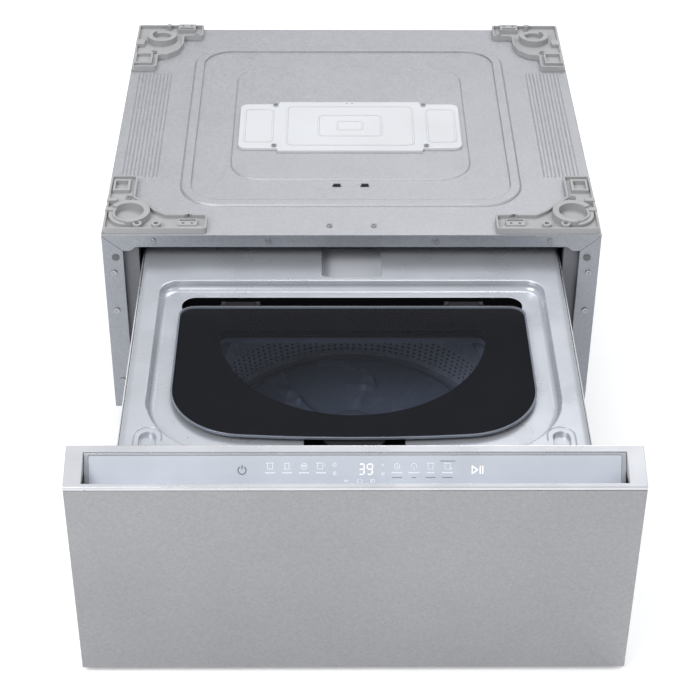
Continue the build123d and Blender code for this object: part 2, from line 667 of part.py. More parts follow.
def lock_unit():
    """The drawer lock's housing, hung under the top sheet by two screws and two hooks."""
    low = COVER_TOP + 5
    with BuildPart() as unit:
        block((-32, 32), (FRONT_Y + 19.5, FRONT_Y + LOCK_TAB_Y + 4), (low, SHEET_UNDER - 0.2))
        fillet(unit.edges().filter_by(Axis.Z), 4)
        for x in (-LOCK_TAB_X, LOCK_TAB_X):
            y = FRONT_Y + LOCK_TAB_Y
            block((x - 5, x + 5), (y - 1.8, y - 0.3), (SHEET_UNDER - 3, CABINET_TOP + 2))
            block((x - 5, x + 5), (y - 1.8, y + 3.5), (CABINET_TOP + 0.4, CABINET_TOP + 2))
        for x in (-LOCK_SCREW_X, LOCK_SCREW_X):
            block((x - 7, x + 7), (FRONT_Y + 19.5, FRONT_Y + 30), (SHEET_UNDER - 12, SHEET_UNDER))
            upright(x, FRONT_Y + LOCK_SCREW_Y, SCREW_HOLE, SHEET_UNDER - 9, SHEET_UNDER, mode=Mode.SUBTRACT)
        block(
            (-8 - FREE, 8 + FREE),
            (FRONT_Y + LOCK_BOLT_Y - 3 - FREE, FRONT_Y + LOCK_BOLT_Y + 3 + FREE),
            (low - 1, SHEET_UNDER - 4),
            mode=Mode.SUBTRACT,
        )
    save(unit.part, "lock_housing")


def lock_bolt():
    """The bolt that drops into the slot of the lid's tab when the drawer is shut."""
    low = COVER_TOP + 4
    y = FRONT_Y + LOCK_BOLT_Y
    with BuildPart() as bolt:
        block((-8, 8), (y - 3, y + 3), (low, low + 24))
        chamfer(bolt.faces().sort_by(Axis.Z)[0].edges().filter_by(Axis.X), 1.5)
    save(bolt.part, "lock_bolt")


def levelling_feet():
    """Four rubber-shod feet on threaded stems, each with its nut."""
    for word_y, y in FOOT_YS:
        for word_x, side in SIDES:
            with BuildPart() as foot:
                upright(side * FOOT_X, y, FOOT_STEM, 8, CABINET_BOTTOM + 5.5)
                with Locations((side * FOOT_X, y, 4)):
                    Cone(24, 21, 8)
                with Locations((side * FOOT_X, y, 12)):
                    Cone(21, 12, 8)
                with BuildSketch(Plane.XY.offset(16)):
                    with Locations((side * FOOT_X, y)):
                        RegularPolygon(9.8, 6)
                extrude(amount=7)
            save(foot.part, f"levelling_foot_{word_y}_{word_x}")


# ---------------------------------------------------------------- drawer case and front

ROD_REACH = 205.0


def drawer_case():
    """The drawer's open-topped steel case, with corner gussets that carry the tub."""
    front = DRAWER_BACK_Y
    with BuildPart() as case:
        block((-CASE_HALF_WIDTH, CASE_HALF_WIDTH), (front, CASE_REAR_Y), (CASE_BOTTOM, CASE_TOP))
        block(
            (-CASE_HALF_WIDTH + 1.5, CASE_HALF_WIDTH - 1.5),
            (front + 1.5, CASE_REAR_Y - 1.5),
            (CASE_BOTTOM + 1.5, CASE_TOP + 1),
            mode=Mode.SUBTRACT,
        )
        for sx in (-1, 1):
            for sy in (-1, 1):
                x, y = sx * ROD_REACH, TUB_Y + sy * ROD_REACH
                wall_x = sx * (CASE_HALF_WIDTH - 1.5)
                block(sorted((x - sx * 12, wall_x)), (y - 14, y + 14), (CASE_TOP - 12, CASE_TOP - 9))
                upright(x, y, 4 + FREE, CASE_TOP - 13, CASE_TOP - 8, mode=Mode.SUBTRACT)
    save(case.part, "drawer_case")


PANEL_TILT = 60.0
PANEL_TALL = 35.0
BEZEL_SLOPE = 41.0
TROUGH_HALF = 322.0
BEZEL_TOP_Y = 9.5
LIP_THICK = 5.0


def front_profile(z_floor, front_in=0.0, back_in=0.0):
    """The points of the drawer front's side outline, from its lower back corner."""
    return [
        (DRAWER_BACK_Y - back_in, z_floor),
        (DRAWER_BACK_Y - back_in, FRONT_TOP),
        (DRAWER_FACE_Y + front_in, FRONT_LIP_TOP),
        (DRAWER_FACE_Y + front_in, z_floor),
    ]


def drawer_trim():
    """The satin trim along the drawer's top: a frame round the trough that holds the controls."""
    low = FRONT_LIP_TOP - 4.4
    slope = (FRONT_TOP - FRONT_LIP_TOP) / FRONT_THICKNESS
    with BuildPart() as trim:
        with BuildSketch(Plane.YZ.offset(-HALF)):
            with BuildLine():
                Polyline(*front_profile(low), close=True)
            make_face()
        extrude(amount=WIDTH)
        rims = trim.edges().filter_by(Axis.X)
        fillet(rims.group_by(Axis.Z)[-1], 1.5)
        fillet(rims.filter_by_position(Axis.Z, FRONT_LIP_TOP - 1, FRONT_LIP_TOP + 1), 2)
        ends = trim.faces().filter_by(Axis.X).edges().filter_by(Axis.Z, reverse=True)
        fillet(ends.group_by(Axis.Z)[-1], 1.2)
        trough = (DRAWER_FACE_Y + LIP_THICK, DRAWER_BACK_Y - BEZEL_TOP_Y)
        block((-TROUGH_HALF, TROUGH_HALF), trough, (low - 10, FRONT_TOP + 10), mode=Mode.SUBTRACT)
        under = (DRAWER_BACK_Y - BEZEL_TOP_Y, DRAWER_BACK_Y - 3)
        rear_low = FRONT_TOP - 4.4 - slope * BEZEL_TOP_Y
        block((-TROUGH_HALF - 12, TROUGH_HALF + 12), under, (low - 1, rear_low), mode=Mode.SUBTRACT)
    save(trim.part, "drawer_top_trim")


def trough_parts():
    """The bezel on the trough's sloping rear wall, the glass control panel and its board."""
    tilt = radians(PANEL_TILT)
    top_y = DRAWER_BACK_Y - BEZEL_TOP_Y
    top_z = FRONT_TOP - 5.2
    run = BEZEL_SLOPE * cos(tilt)
    drop = BEZEL_SLOPE * sin(tilt)
    floor_z = top_z - drop
    wall_half = TROUGH_HALF - FREE
    with BuildPart() as bezel:
        with BuildSketch(Plane.YZ.offset(-wall_half)):
            with BuildLine():
                Polyline(
                    (top_y - 0.2, top_z),
                    (top_y - 0.2 - run, floor_z),
                    (DRAWER_FACE_Y + LIP_THICK + 1.9, floor_z),
                    (DRAWER_FACE_Y + LIP_THICK + 1.9, FRONT_LIP_TOP - 1),
                    (DRAWER_FACE_Y + LIP_THICK + 0.4, FRONT_LIP_TOP - 1),
                    (DRAWER_FACE_Y + LIP_THICK + 0.4, floor_z - 3),
                    (top_y - 0.2, floor_z - 3),
                    close=True,
                )
            make_face()
        extrude(amount=2 * wall_half)
        middle = ((top_y - 0.2) - run / 2, (top_z + floor_z) / 2)
        face = Plane(origin=(0, *middle), x_dir=(1, 0, 0), z_dir=(0, -sin(tilt), cos(tilt)))
        with BuildSketch(face):
            RectangleRounded(2 * (wall_half - 5), PANEL_TALL + 1, 2.5)
        extrude(amount=-2.5, mode=Mode.SUBTRACT)
        with BuildSketch(face.offset(-2.5)):
            Rectangle(420, PANEL_TALL - 8)
        extrude(amount=-5, mode=Mode.SUBTRACT)
    with BuildPart() as panel:
        with BuildSketch(face.offset(-2.5)):
            RectangleRounded(2 * (wall_half - 5.4), PANEL_TALL + 0.2, 2)
        extrude(amount=1.5)
    with BuildPart() as board:
        with BuildSketch(face.offset(-7)):
            Rectangle(410, PANEL_TALL - 12)
        extrude(amount=1.6)
        with BuildSketch(face.offset(-5.4)):
            Rectangle(60, 12)
        extrude(amount=2.5)
    save(bezel.part, "control_bezel")
    save(panel.part, "control_panel")
    save(board.part, "control_board")
    return floor_z - 3


def drawer_front(trough_z):
    """The stainless skin, folded round its edges, and the moulded liner behind it."""
    top = FRONT_LIP_TOP - 5
    with BuildPart() as skin:
        block((-HALF, HALF), (DRAWER_FACE_Y, DRAWER_BACK_Y - 6), (FRONT_BOTTOM, top))
        fillet(skin.edges().filter_by(Axis.Z).group_by(Axis.Y)[0], 1.5)
        fillet(skin.edges().filter_by(Axis.X).group_by(Axis.Y)[0], 0.8)
        block(
            (-HALF + 1, HALF - 1),
            (DRAWER_FACE_Y + 1, DRAWER_BACK_Y),
            (FRONT_BOTTOM + 1, top - 1),
            mode=Mode.SUBTRACT,
        )
        block(
            (-HALF + 1, HALF - 1),
            (DRAWER_FACE_Y + LIP_THICK - 0.2, DRAWER_BACK_Y),
            (top - 2, top + 1),
            mode=Mode.SUBTRACT,
        )
    save(skin.part, "drawer_front_skin")
    with BuildPart() as liner:
        inset = 1.4
        block(
            (-HALF + inset, HALF - inset),
            (DRAWER_FACE_Y + 12, DRAWER_BACK_Y),
            (FRONT_BOTTOM + inset, trough_z - 0.5),
        )
        block((-HALF + 1.4, HALF - 1.4), (DRAWER_BACK_Y - 6, DRAWER_BACK_Y), (trough_z - 1, top + 0.4))
        fillet(liner.edges().filter_by(Axis.Z).group_by(Axis.Y)[-1], 3)
        block(
            (-HALF + 4, HALF - 4),
            (DRAWER_FACE_Y + 11, DRAWER_BACK_Y - 3),
            (FRONT_BOTTOM + 4, trough_z - 3),
            mode=Mode.SUBTRACT,
        )
        for x in range(-240, 241, 120):
            block(
                (x - 1.5, x + 1.5),
                (DRAWER_FACE_Y + 14, DRAWER_BACK_Y - 2),
                (FRONT_BOTTOM + 3, trough_z - 2),
            )
    save(liner.part, "drawer_front_liner")


# ---------------------------------------------------------------- tub cover

COVER_REAR_HALF = 291.0
COVER_FRONT_HALF = 289.0
COVER_REAR = CASE_REAR_Y
COVER_FRONT = DRAWER_BACK_Y
DISH_HALF = 258.5
DISH_REAR = -53.0
DISH_FRONT = -421.0
DISH_SHAPE = (24, 112, 4)
DISH_LIP = 2.0
DISH_FILLET = 9.0
OPENING_HALF = 229.0
OPENING_REAR = -73.0
TROUGH_FRONT = -112.0
OPENING_RADIUS = 188.0
OPENING_CUT = -125.0
RECESS_HALF = 62.0
NOTCH_HALF = 41.0
NOTCH_FRONT = -43.0
CAP_X = 251.0
CAP_Y = -407.0
PAD_REAR = -379.0


def basin(half_width, rear, front, rear_radius, front_radius, bow, z):
    """The private outline of the lid's dish: square at the back, wide arcs and a bow at the front."""
    y_rear = FRONT_Y + rear
    y_front = FRONT_Y + front
    with BuildSketch(Plane.XY.offset(z), mode=Mode.PRIVATE) as shape:
        with BuildLine():
            Line((-half_width, y_front + bow), (-half_width, y_rear))
            Line((-half_width, y_rear), (half_width, y_rear))
            Line((half_width, y_rear), (half_width, y_front + bow))
            ThreePointArc((half_width, y_front + bow), (0, y_front), (-half_width, y_front + bow))
        make_face()
        fillet(shape.vertices().group_by(Axis.Y)[0], front_radius)
        fillet(shape.vertices().group_by(Axis.Y)[-1], rear_radius)
    return shape.sketch


def dee(radius, cut, z):
    """A private D shape about the tub's centre: round at the front, straight at the back."""
    with BuildSketch(Plane.XY.offset(z), mode=Mode.PRIVATE) as shape:
        with Locations((0, TUB_Y)):
            Circle(radius)
        with Locations((0, FRONT_Y + cut + radius)):
            Rectangle(4 * radius, 2 * radius, mode=Mode.SUBTRACT)
        fillet(shape.vertices(), 14)
    return shape.sketch


def pad_groove(side, radius, z):
    """A private teardrop round one screw cap, drawn out towards the middle of the drawer's front."""
    x = side * CAP_X
    rear = FRONT_Y + PAD_REAR - 8
    tail = side * (CAP_X - 72)
    with BuildSketch(Plane.XY.offset(z), mode=Mode.PRIVATE) as shape:
        with Locations((x, rear)):
            Circle(radius)
        with Locations((x, (rear + COVER_FRONT) / 2 - 5)):
            Rectangle(2 * radius, rear - COVER_FRONT + 10)
        with BuildLine():
            Polyline(
                (x, rear),
                (tail, COVER_FRONT + radius / 4),
                (tail, COVER_FRONT - 5),
                (x, COVER_FRONT - 5),
                close=True,
            )
        make_face()
    return shape.sketch


def tub_cover():
    """The moulded cover over the tub, with the lid's dish, a rear notch and corner pads."""
    skirt_low = CASE_TOP
    skirt = COVER_TOP - skirt_low
    y_front = FRONT_Y + DISH_FRONT
    y_notch = FRONT_Y + NOTCH_FRONT
    notch_z = COVER_TOP - 17
    trough = (FRONT_Y + TROUGH_FRONT, FRONT_Y + OPENING_REAR)
    with BuildPart() as cover:
        with BuildSketch(Plane.XY.offset(skirt_low)) as shell:
            with BuildLine():
                Polyline(
                    (-COVER_FRONT_HALF, COVER_FRONT),
                    (-COVER_REAR_HALF, COVER_REAR),
                    (COVER_REAR_HALF, COVER_REAR),
                    (COVER_FRONT_HALF, COVER_FRONT),
                    close=True,
                )
            make_face()
        extrude(amount=skirt)
        fillet(cover.faces().sort_by(Axis.Z)[-1].edges().sort_by(Axis.Y)[1:], 12)
        with BuildSketch(Plane.XY.offset(skirt_low)):
            offset(shell.sketch_local, amount=-COVER_THICKNESS)
        extrude(amount=skirt - COVER_THICKNESS, mode=Mode.SUBTRACT)
        # The dish: its wall, a fillet all round its floor and a small rounding on its lip
        under = DISH_FLOOR - COVER_THICKNESS
        shell_basin = basin(DISH_HALF + 3, DISH_REAR + 3, DISH_FRONT - 3, 26, 114, 4, under)
        extrude(shell_basin, COVER_TOP - under - 1)
        dish_basin = basin(DISH_HALF, DISH_REAR, DISH_FRONT, *DISH_SHAPE, DISH_FLOOR)
        extrude(dish_basin, DISH_DEPTH + 1, mode=Mode.SUBTRACT)
        floor = cover.faces().filter_by_position(Axis.Z, DISH_FLOOR - 0.01, DISH_FLOOR + 0.01)
        fillet(floor.sort_by(SortBy.AREA)[-1].outer_wire().edges(), DISH_FILLET)
        top = cover.faces().filter_by_position(Axis.Z, COVER_TOP - 0.01, COVER_TOP + 0.01)
        fillet(top.sort_by(SortBy.AREA)[-1].inner_wires()[0].edges(), DISH_LIP)
        # The hinge trough behind the lid
        block(
            (-OPENING_HALF - 3, OPENING_HALF + 3), (trough[0] - 3, trough[1] + 3), (skirt_low, under + 1)
        )
        with BuildSketch(Plane.XY.offset(skirt_low + 3)):
            with Locations((0, (trough[0] + trough[1]) / 2)):
                RectangleRounded(2 * OPENING_HALF, trough[1] - trough[0], 19)
        extrude(amount=DISH_FLOOR - skirt_low, mode=Mode.SUBTRACT)
        extrude(dee(OPENING_RADIUS, OPENING_CUT, under - 1), COVER_THICKNESS + 2, mode=Mode.SUBTRACT)
        # The finger pocket in front of the lid
        block((-RECESS_HALF - 3, RECESS_HALF + 3), (y_front + 1, y_front + 52), (skirt_low + 1, under + 1))
        with BuildSketch(Plane.XY.offset(skirt_low + 4)):
            with Locations((0, y_front + 26.5)):
                RectangleRounded(2 * RECESS_HALF, 45, 8)
        extrude(amount=DISH_FLOOR - skirt_low, mode=Mode.SUBTRACT)
        # The rear notch, with rounded corners
        block((-NOTCH_HALF - 3, NOTCH_HALF + 3), (y_notch - 3, COVER_REAR), (notch_z - 3, COVER_TOP - 1))
        with BuildSketch(Plane.XY.offset(notch_z)):
            with Locations((0, (y_notch + COVER_REAR + 20) / 2)):
                RectangleRounded(2 * NOTCH_HALF, COVER_REAR + 20 - y_notch, 7)
        extrude(amount=COVER_TOP - notch_z + 1, mode=Mode.SUBTRACT)
        # The corner pads: a teardrop groove, a recess and a boss for the screw cap
        for side in (-1, 1):
            x = side * CAP_X
            y = FRONT_Y + CAP_Y
            groove = pad_groove(side, 17.5, COVER_TOP - 0.8) - pad_groove(side, 16.3, COVER_TOP - 0.8)
            extrude(groove, 1, mode=Mode.SUBTRACT)
            upright(x, y, 14, DISH_FLOOR - 6, COVER_TOP - 1)
            block((x - 14, x + 14), (y, y + 32), (COVER_TOP - 9, COVER_TOP - 1))
            with BuildSketch(Plane.XY.offset(COVER_TOP - 6)):
                with Locations((x, y + 9)):
                    SlotCenterToCenter(18, 21, rotation=90)
            extrude(amount=8, mode=Mode.SUBTRACT)
            upright(x, y, 10.5, DISH_FLOOR - 3, COVER_TOP + 1, mode=Mode.SUBTRACT)
    save(cover.part, "tub_cover")
    with BuildPart() as caps:
        for side in (-1, 1):
            upright(side * CAP_X, FRONT_Y + CAP_Y, 9.8, DISH_FLOOR - 3, COVER_TOP - 4.5)
        chamfer(caps.faces().filter_by(Axis.Z).group_by(Axis.Z)[-1].edges(), 1)
    save(caps.part, "cover_screw_caps")


# ---------------------------------------------------------------- lid

LID_REAR = -105.0
LID_FRONT = -385.0
HINGE_X = 150.0
HINGE_PIN = 2.5
ARM_HALF = 19.5
LUG = 6.0


def lid():
    """The tinted glass lid with its frame, seal, tab, hinge brackets and pins."""
    under = LID_TOP - GLASS
    with BuildPart() as glass:
        extrude(basin(LID_HALF_WIDTH, LID_REAR, LID_FRONT, 20, 96, 15, under), GLASS)
        chamfer(glass.faces().sort_by(Axis.Z)[-1].edges(), 0.9)
    save(glass.part, "lid_glass")
    with BuildPart() as frame:
        extrude(basin(206, LID_REAR - 3, LID_FRONT + 24, 14, 80, 14, under - 2.5), 2.5)
        extrude(dee(OPENING_RADIUS - 4, OPENING_CUT - 4, under - 9), 6.5)
        extrude(dee(OPENING_RADIUS - 14, OPENING_CUT - 33, under - 10), 12, mode=Mode.SUBTRACT)
        for x in (-HINGE_X, HINGE_X):
            block((x - ARM_HALF, x + ARM_HALF), (HINGE_Y - 21, HINGE_Y), (HINGE_Z - 4, under))
            crosswise(HINGE_Y, HINGE_Z, 5.5, x - ARM_HALF, x + ARM_HALF)
            crosswise(
                HINGE_Y,
                HINGE_Z,
                HINGE_PIN + RUNNING,
                x - ARM_HALF - 1,
                x + ARM_HALF + 1,
                mode=Mode.SUBTRACT,
            )
    save(frame.part, "lid_frame")
    with BuildPart() as seal:
        extrude(dee(OPENING_RADIUS + 9, OPENING_CUT + 4, DISH_FLOOR + FREE), under - DISH_FLOOR - FREE)
        extrude(dee(OPENING_RADIUS + 3, OPENING_CUT - 2, DISH_FLOOR), under, mode=Mode.SUBTRACT)
        clearance = basin(206.3, LID_REAR - 2.7, LID_FRONT + 23.7, 14, 80, 14, under - 2.6)
        extrude(clearance, 4, mode=Mode.SUBTRACT)
    save(seal.part, "lid_seal")
    with BuildPart() as tab:
        with BuildSketch(Plane.XY.offset(DISH_FLOOR + 0.6)) as tongue:
            with BuildLine():
                Polyline(
                    (-38, FRONT_Y + LID_FRONT + 16),
                    (-38, FRONT_Y + LID_FRONT + 1),
                    (-22, FRONT_Y + LID_FRONT - 23),
                    (22, FRONT_Y + LID_FRONT - 23),
                    (38, FRONT_Y + LID_FRONT + 1),
                    (38, FRONT_Y + LID_FRONT + 16),
                    close=True,
                )
            make_face()
            fillet(tongue.vertices(), 7)
            with Locations((0, FRONT_Y + LOCK_BOLT_Y - DRAWER_TRAVEL)):
                Rectangle(19, 8, mode=Mode.SUBTRACT)
        extrude(amount=under - DISH_FLOOR - 0.6)
    save(tab.part, "lid_tab")
    with BuildPart() as brackets:
        floor = CASE_TOP + COVER_THICKNESS
        reach = ARM_HALF + 0.5 + LUG
        for x in (-HINGE_X, HINGE_X):
            block((x - reach, x + reach), (HINGE_Y - 8, HINGE_Y + 12), (floor, floor + 5))
            for edge in (x - reach, x + ARM_HALF + 0.5):
                block((edge, edge + LUG), (HINGE_Y - 6, HINGE_Y + 6), (floor, HINGE_Z))
                crosswise(HINGE_Y, HINGE_Z, 6, edge, edge + LUG)
            crosswise(HINGE_Y, HINGE_Z, HINGE_PIN, x - reach - 1, x + reach + 1, mode=Mode.SUBTRACT)
    save(brackets.part, "lid_hinge_brackets")
    with BuildPart() as pins:
        for x in (-HINGE_X, HINGE_X):
            crosswise(HINGE_Y, HINGE_Z, HINGE_PIN, x - reach - 2, x + reach + 2)
    save(pins.part, "lid_hinge_pins")


# ---------------------------------------------------------------- tub and what turns in it

HUB_RADIUS = 40.0
BEARING_RADIUS = 26.0
INNER_SHAFT = 6.0
TUB_AXIS = Axis((0, TUB_Y, 0), (0, 0, 1))


def tub_ring(outer, inner, z_low, z_high):
    """Adds a ring about the tub's axis to the part being built."""
    with BuildSketch(Plane.XY.offset(z_low), mode=Mode.PRIVATE) as section:
        with Locations((0, TUB_Y)):
            Circle(outer)
            Circle(inner, mode=Mode.SUBTRACT)
    extrude(section.sketch, z_high - z_low)


def radial(count, start, x_range, half_width, z_range):
    """Adds bars that point out from the tub's axis, evenly spaced round it."""
    length = x_range[1] - x_range[0]
    middle = (x_range[0] + x_range[1]) / 2
    with BuildSketch(Plane.XY.offset(z_range[0]), mode=Mode.PRIVATE) as bars:
        with Locations((0, TUB_Y)):
            with PolarLocations(middle, count, start):
                Rectangle(length, 2 * half_width)
    extrude(bars.sketch, z_range[1] - z_range[0])


def outer_tub():
    """The moulded outer tub with its bearing hub, ribs and four suspension ears."""
    with BuildPart() as tub:
        upright(0, TUB_Y, TUB_RADIUS, TUB_BOTTOM, TUB_TOP)
        upright(0, TUB_Y, TUB_RADIUS - TUB_WALL, TUB_BOTTOM + 4, TUB_TOP + 1, mode=Mode.SUBTRACT)
        upright(0, TUB_Y, HUB_RADIUS, TUB_BOTTOM - 28, TUB_BOTTOM + 4)
        for z in (TUB_BOTTOM + 30, TUB_BOTTOM + 80, TUB_TOP - 8):
            tub_ring(TUB_RADIUS + 4, TUB_RADIUS - 1, z, z + 4)
        radial(4, 45, (TUB_RADIUS - 6, TUB_RADIUS + 66), 15, (TUB_BOTTOM, TUB_BOTTOM + 8))
        radial(4, 45, (TUB_RADIUS - 2, TUB_RADIUS + 40), 2, (TUB_BOTTOM + 8, TUB_BOTTOM + 34))
        upright(0, TUB_Y, TUB_RADIUS - TUB_WALL, TUB_BOTTOM + 4, TUB_TOP + 1, mode=Mode.SUBTRACT)
        for sx in (-1, 1):
            for sy in (-1, 1):
                x, y = sx * ROD_REACH, TUB_Y + sy * ROD_REACH
                upright(x, y, 4.5 + FREE, TUB_BOTTOM - 1, TUB_BOTTOM + 9, mode=Mode.SUBTRACT)
        upright(0, TUB_Y, BEARING_RADIUS, TUB_BOTTOM - 29, TUB_BOTTOM + 1, mode=Mode.SUBTRACT)
        upright(0, TUB_Y, SHAFT_RADIUS + 1, TUB_BOTTOM, TUB_BOTTOM + 5, mode=Mode.SUBTRACT)
    save(tub.part, "outer_tub")


def tub_top():
    """The ring that closes the outer tub and the bellows up to the cover."""
    with BuildPart() as ring:
        upright(0, TUB_Y, TUB_RADIUS + 4, TUB_TOP, TUB_TOP + 4)
        extrude(dee(OPENING_RADIUS + 5, OPENING_CUT + 5, TUB_TOP + 4), 5)
        extrude(dee(OPENING_RADIUS - 7, OPENING_CUT - 7, TUB_TOP - 1), 12, mode=Mode.SUBTRACT)
    save(ring.part, "tub_top_ring")
    gap = DISH_FLOOR - COVER_THICKNESS - TUB_TOP - 9
    with BuildPart() as bellows:
        extrude(dee(OPENING_RADIUS + 4, OPENING_CUT + 4, TUB_TOP + 9), gap)
        extrude(dee(OPENING_RADIUS, OPENING_CUT, TUB_TOP + 8), gap + 2, mode=Mode.SUBTRACT)
    save(bellows.part, "tub_bellows")


def tub_bearings():
    """Two ball bearings on the tub's axis, as rings."""
    with BuildPart() as bearings:
        for z in (TUB_BOTTOM - 27, TUB_BOTTOM - 13):
            tub_ring(BEARING_RADIUS, SHAFT_RADIUS + RUNNING, z, z + 13)
    save(bearings.part, "tub_bearings")


def suspension():
    """Four hanging rods with their springs and cups."""
    with BuildPart() as rods:
        for sx in (-1, 1):
            for sy in (-1, 1):
                x, y = sx * ROD_REACH, TUB_Y + sy * ROD_REACH
                upright(x, y, 4, TUB_BOTTOM - 34, CASE_TOP - 4)
                upright(x, y, 9, CASE_TOP - 9, CASE_TOP - 5)
                upright(x, y, 12, TUB_BOTTOM - 34, TUB_BOTTOM - 30)
                upright(x, y, 10, TUB_BOTTOM - 4, TUB_BOTTOM)
                for n in range(5):
                    upright(x, y, 8.5, TUB_BOTTOM - 28 + 4.6 * n, TUB_BOTTOM - 25.6 + 4.6 * n)
    save(rods.part, "suspension_rods")


def motor():
    """The direct-drive motor: a wound stator on the hub and the rotor cup on the inner shaft."""
    with BuildPart() as stator:
        tub_ring(84, HUB_RADIUS, TUB_BOTTOM - 22, TUB_BOTTOM - 6)
        radial(18, 0, (82, 112), 7, (TUB_BOTTOM - 24, TUB_BOTTOM - 8))
    save(stator.part, "motor_stator")
    with BuildPart() as rotor:
        upright(0, TUB_Y, 120, TUB_BOTTOM - 32, TUB_BOTTOM - 6)
        upright(0, TUB_Y, 114, TUB_BOTTOM - 29, TUB_BOTTOM, mode=Mode.SUBTRACT)
        upright(0, TUB_Y, INNER_SHAFT + 8, TUB_BOTTOM - 37, TUB_BOTTOM - 30)
        upright(0, TUB_Y, INNER_SHAFT, TUB_BOTTOM - 38, TUB_BOTTOM, mode=Mode.SUBTRACT)
        with Locations((0, TUB_Y, TUB_BOTTOM - 31)):
            with PolarLocations(72, 12):
                Cylinder(11, 10, mode=Mode.SUBTRACT)
    save(rotor.part, "motor_rotor")


def shafts():
    """The hollow shaft that spins the basket and the inner shaft that turns the pulsator."""
    with BuildPart() as hollow_shaft:
        tub_ring(SHAFT_RADIUS, INNER_SHAFT + RUNNING, TUB_BOTTOM - 27, BASKET_BOTTOM + 6)
    save(hollow_shaft.part, "basket_shaft")
    with BuildPart() as inner_shaft:
        upright(0, TUB_Y, INNER_SHAFT, TUB_BOTTOM - 37, BASKET_BOTTOM + 16)
    save(inner_shaft.part, "pulsator_shaft")


def basket():
    """The steel wash basket on its moulded base, with the balance ring round its mouth."""
    top = TUB_TOP - 26
    with BuildPart() as shell:
        with BuildSketch(Plane.XZ.offset(-TUB_Y)):
            with BuildLine():
                Polyline(
                    (BASKET_RADIUS - 16, BASKET_BOTTOM + 8),
                    (BASKET_RADIUS - 4, BASKET_BOTTOM + 50),
                    (BASKET_RADIUS, top),
                    (BASKET_RADIUS + 1.2, top),
                    (BASKET_RADIUS - 2.8, BASKET_BOTTOM + 50),
                    (BASKET_RADIUS - 14.8, BASKET_BOTTOM + 8),
                    close=True,
                )
            make_face()
        revolve(axis=TUB_AXIS)
    save(shell.part, "wash_basket")
    with BuildPart() as base:
        upright(0, TUB_Y, BASKET_RADIUS - 14.8, BASKET_BOTTOM, BASKET_BOTTOM + 8)
        upright(0, TUB_Y, BASKET_RADIUS - 22, BASKET_BOTTOM + 4, BASKET_BOTTOM + 9, mode=Mode.SUBTRACT)
        upright(0, TUB_Y, 30, BASKET_BOTTOM + 3, BASKET_BOTTOM + 6)
        upright(0, TUB_Y, SHAFT_RADIUS, BASKET_BOTTOM - 1, BASKET_BOTTOM + 9, mode=Mode.SUBTRACT)
    save(base.part, "basket_base")
    with BuildPart() as ring:
        with BuildSketch(Plane.XZ.offset(-TUB_Y)) as section:
            with BuildLine():
                Polyline(
                    (BASKET_RADIUS + 1.2, top),
                    (BASKET_RADIUS + 3, top + 4),
                    (BASKET_RADIUS + 3, top + 22),
                    (BASKET_RADIUS - 34, top + 22),
                    (BASKET_RADIUS - 42, top + 12),
                    (BASKET_RADIUS - 34, top),
                    close=True,
                )
            make_face()
            fillet(section.vertices(), 2)
        revolve(axis=TUB_AXIS)
    save(ring.part, "balance_ring")


PULSATOR_RADIUS = 172.0


def pulsator():
    """The finned pulsator with its domed hub and the cap over its screw."""
    low = BASKET_BOTTOM + 8
    with BuildPart() as disc:
        with BuildSketch(Plane.XZ.offset(-TUB_Y)):
            with BuildLine():
                Polyline(
                    (INNER_SHAFT, low),
                    (INNER_SHAFT, low + 20),
                    (34, low + 20),
                    (48, low + 10),
                    (130, low + 5),
                    (PULSATOR_RADIUS, low + 9),
                    (PULSATOR_RADIUS, low + 5),
                    (130, low),
                    close=True,
                )
            make_face()
        revolve(axis=TUB_AXIS)
        radial(6, 30, (36, PULSATOR_RADIUS - 16), 5, (low + 4, low + 17))
        with Locations((0, TUB_Y, low + 7)):
            with PolarLocations(96, 6):
                Cylinder(11, 8)
        upright(0, TUB_Y, 10, low + 12, low + 21, mode=Mode.SUBTRACT)
    save(disc.part, "pulsator")
    with BuildPart() as cap:
        upright(0, TUB_Y, 9.6, low + 12, low + 20.5)
        chamfer(cap.faces().sort_by(Axis.Z)[-1].edges(), 1)
    save(cap.part, "pulsator_cap")


PUMP_X = 150.0
PUMP_Y = CASE_REAR_Y - 37.0


def drain_pump():
    """The drain pump in the rear corner of the drawer's case, and the hose from the tub to it."""
    with BuildPart() as pump:
        upright(PUMP_X, PUMP_Y, 27, CASE_BOTTOM + 8, CASE_BOTTOM + 38)
        upright(PUMP_X, PUMP_Y, 20, CASE_BOTTOM + 38, CASE_BOTTOM + 84)
        block((PUMP_X - 30, PUMP_X + 30), (PUMP_Y - 30, PUMP_Y + 30), (CASE_BOTTOM + 1.5, CASE_BOTTOM + 8))
        lengthwise(PUMP_X + 12, CASE_BOTTOM + 22, 9, PUMP_Y, PUMP_Y + 34)
    save(pump.part, "drain_pump")


# ---------------------------------------------------------------- everything, from the cabinet inwards

for word, side in SIDES:
    side_panel(side, f"side_panel_{word}")
    front_bracket(side, f"corner_bracket_front_{word}")
    rear_bracket(side, f"corner_bracket_rear_{word}")
slides()
front_top_rail()
front_bottom_rail()
base_pan()
rear_panel()
top_plate()
access_cover()
loose_fasteners()
inlet_valve()
drain_outlet()
cord_gland()
control_box()
ballast()
lock_unit()
lock_bolt()
levelling_feet()
drawer_case()
drawer_trim()
trough_bottom = trough_parts()
drawer_front(trough_bottom)
tub_cover()
lid()
outer_tub()
tub_top()
tub_bearings()
suspension()
motor()
shafts()
basket()
pulsator()
drain_pump()
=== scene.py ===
"""The looks of a pedestal drawer washer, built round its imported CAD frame.

Metres. +X is the viewer's right, +Y goes to the rear, +Z is up. The origin is on the floor, in the
middle of the object as it stands with its drawer open.
"""

import json
from math import atan2, cos, radians, sin, sqrt, tau

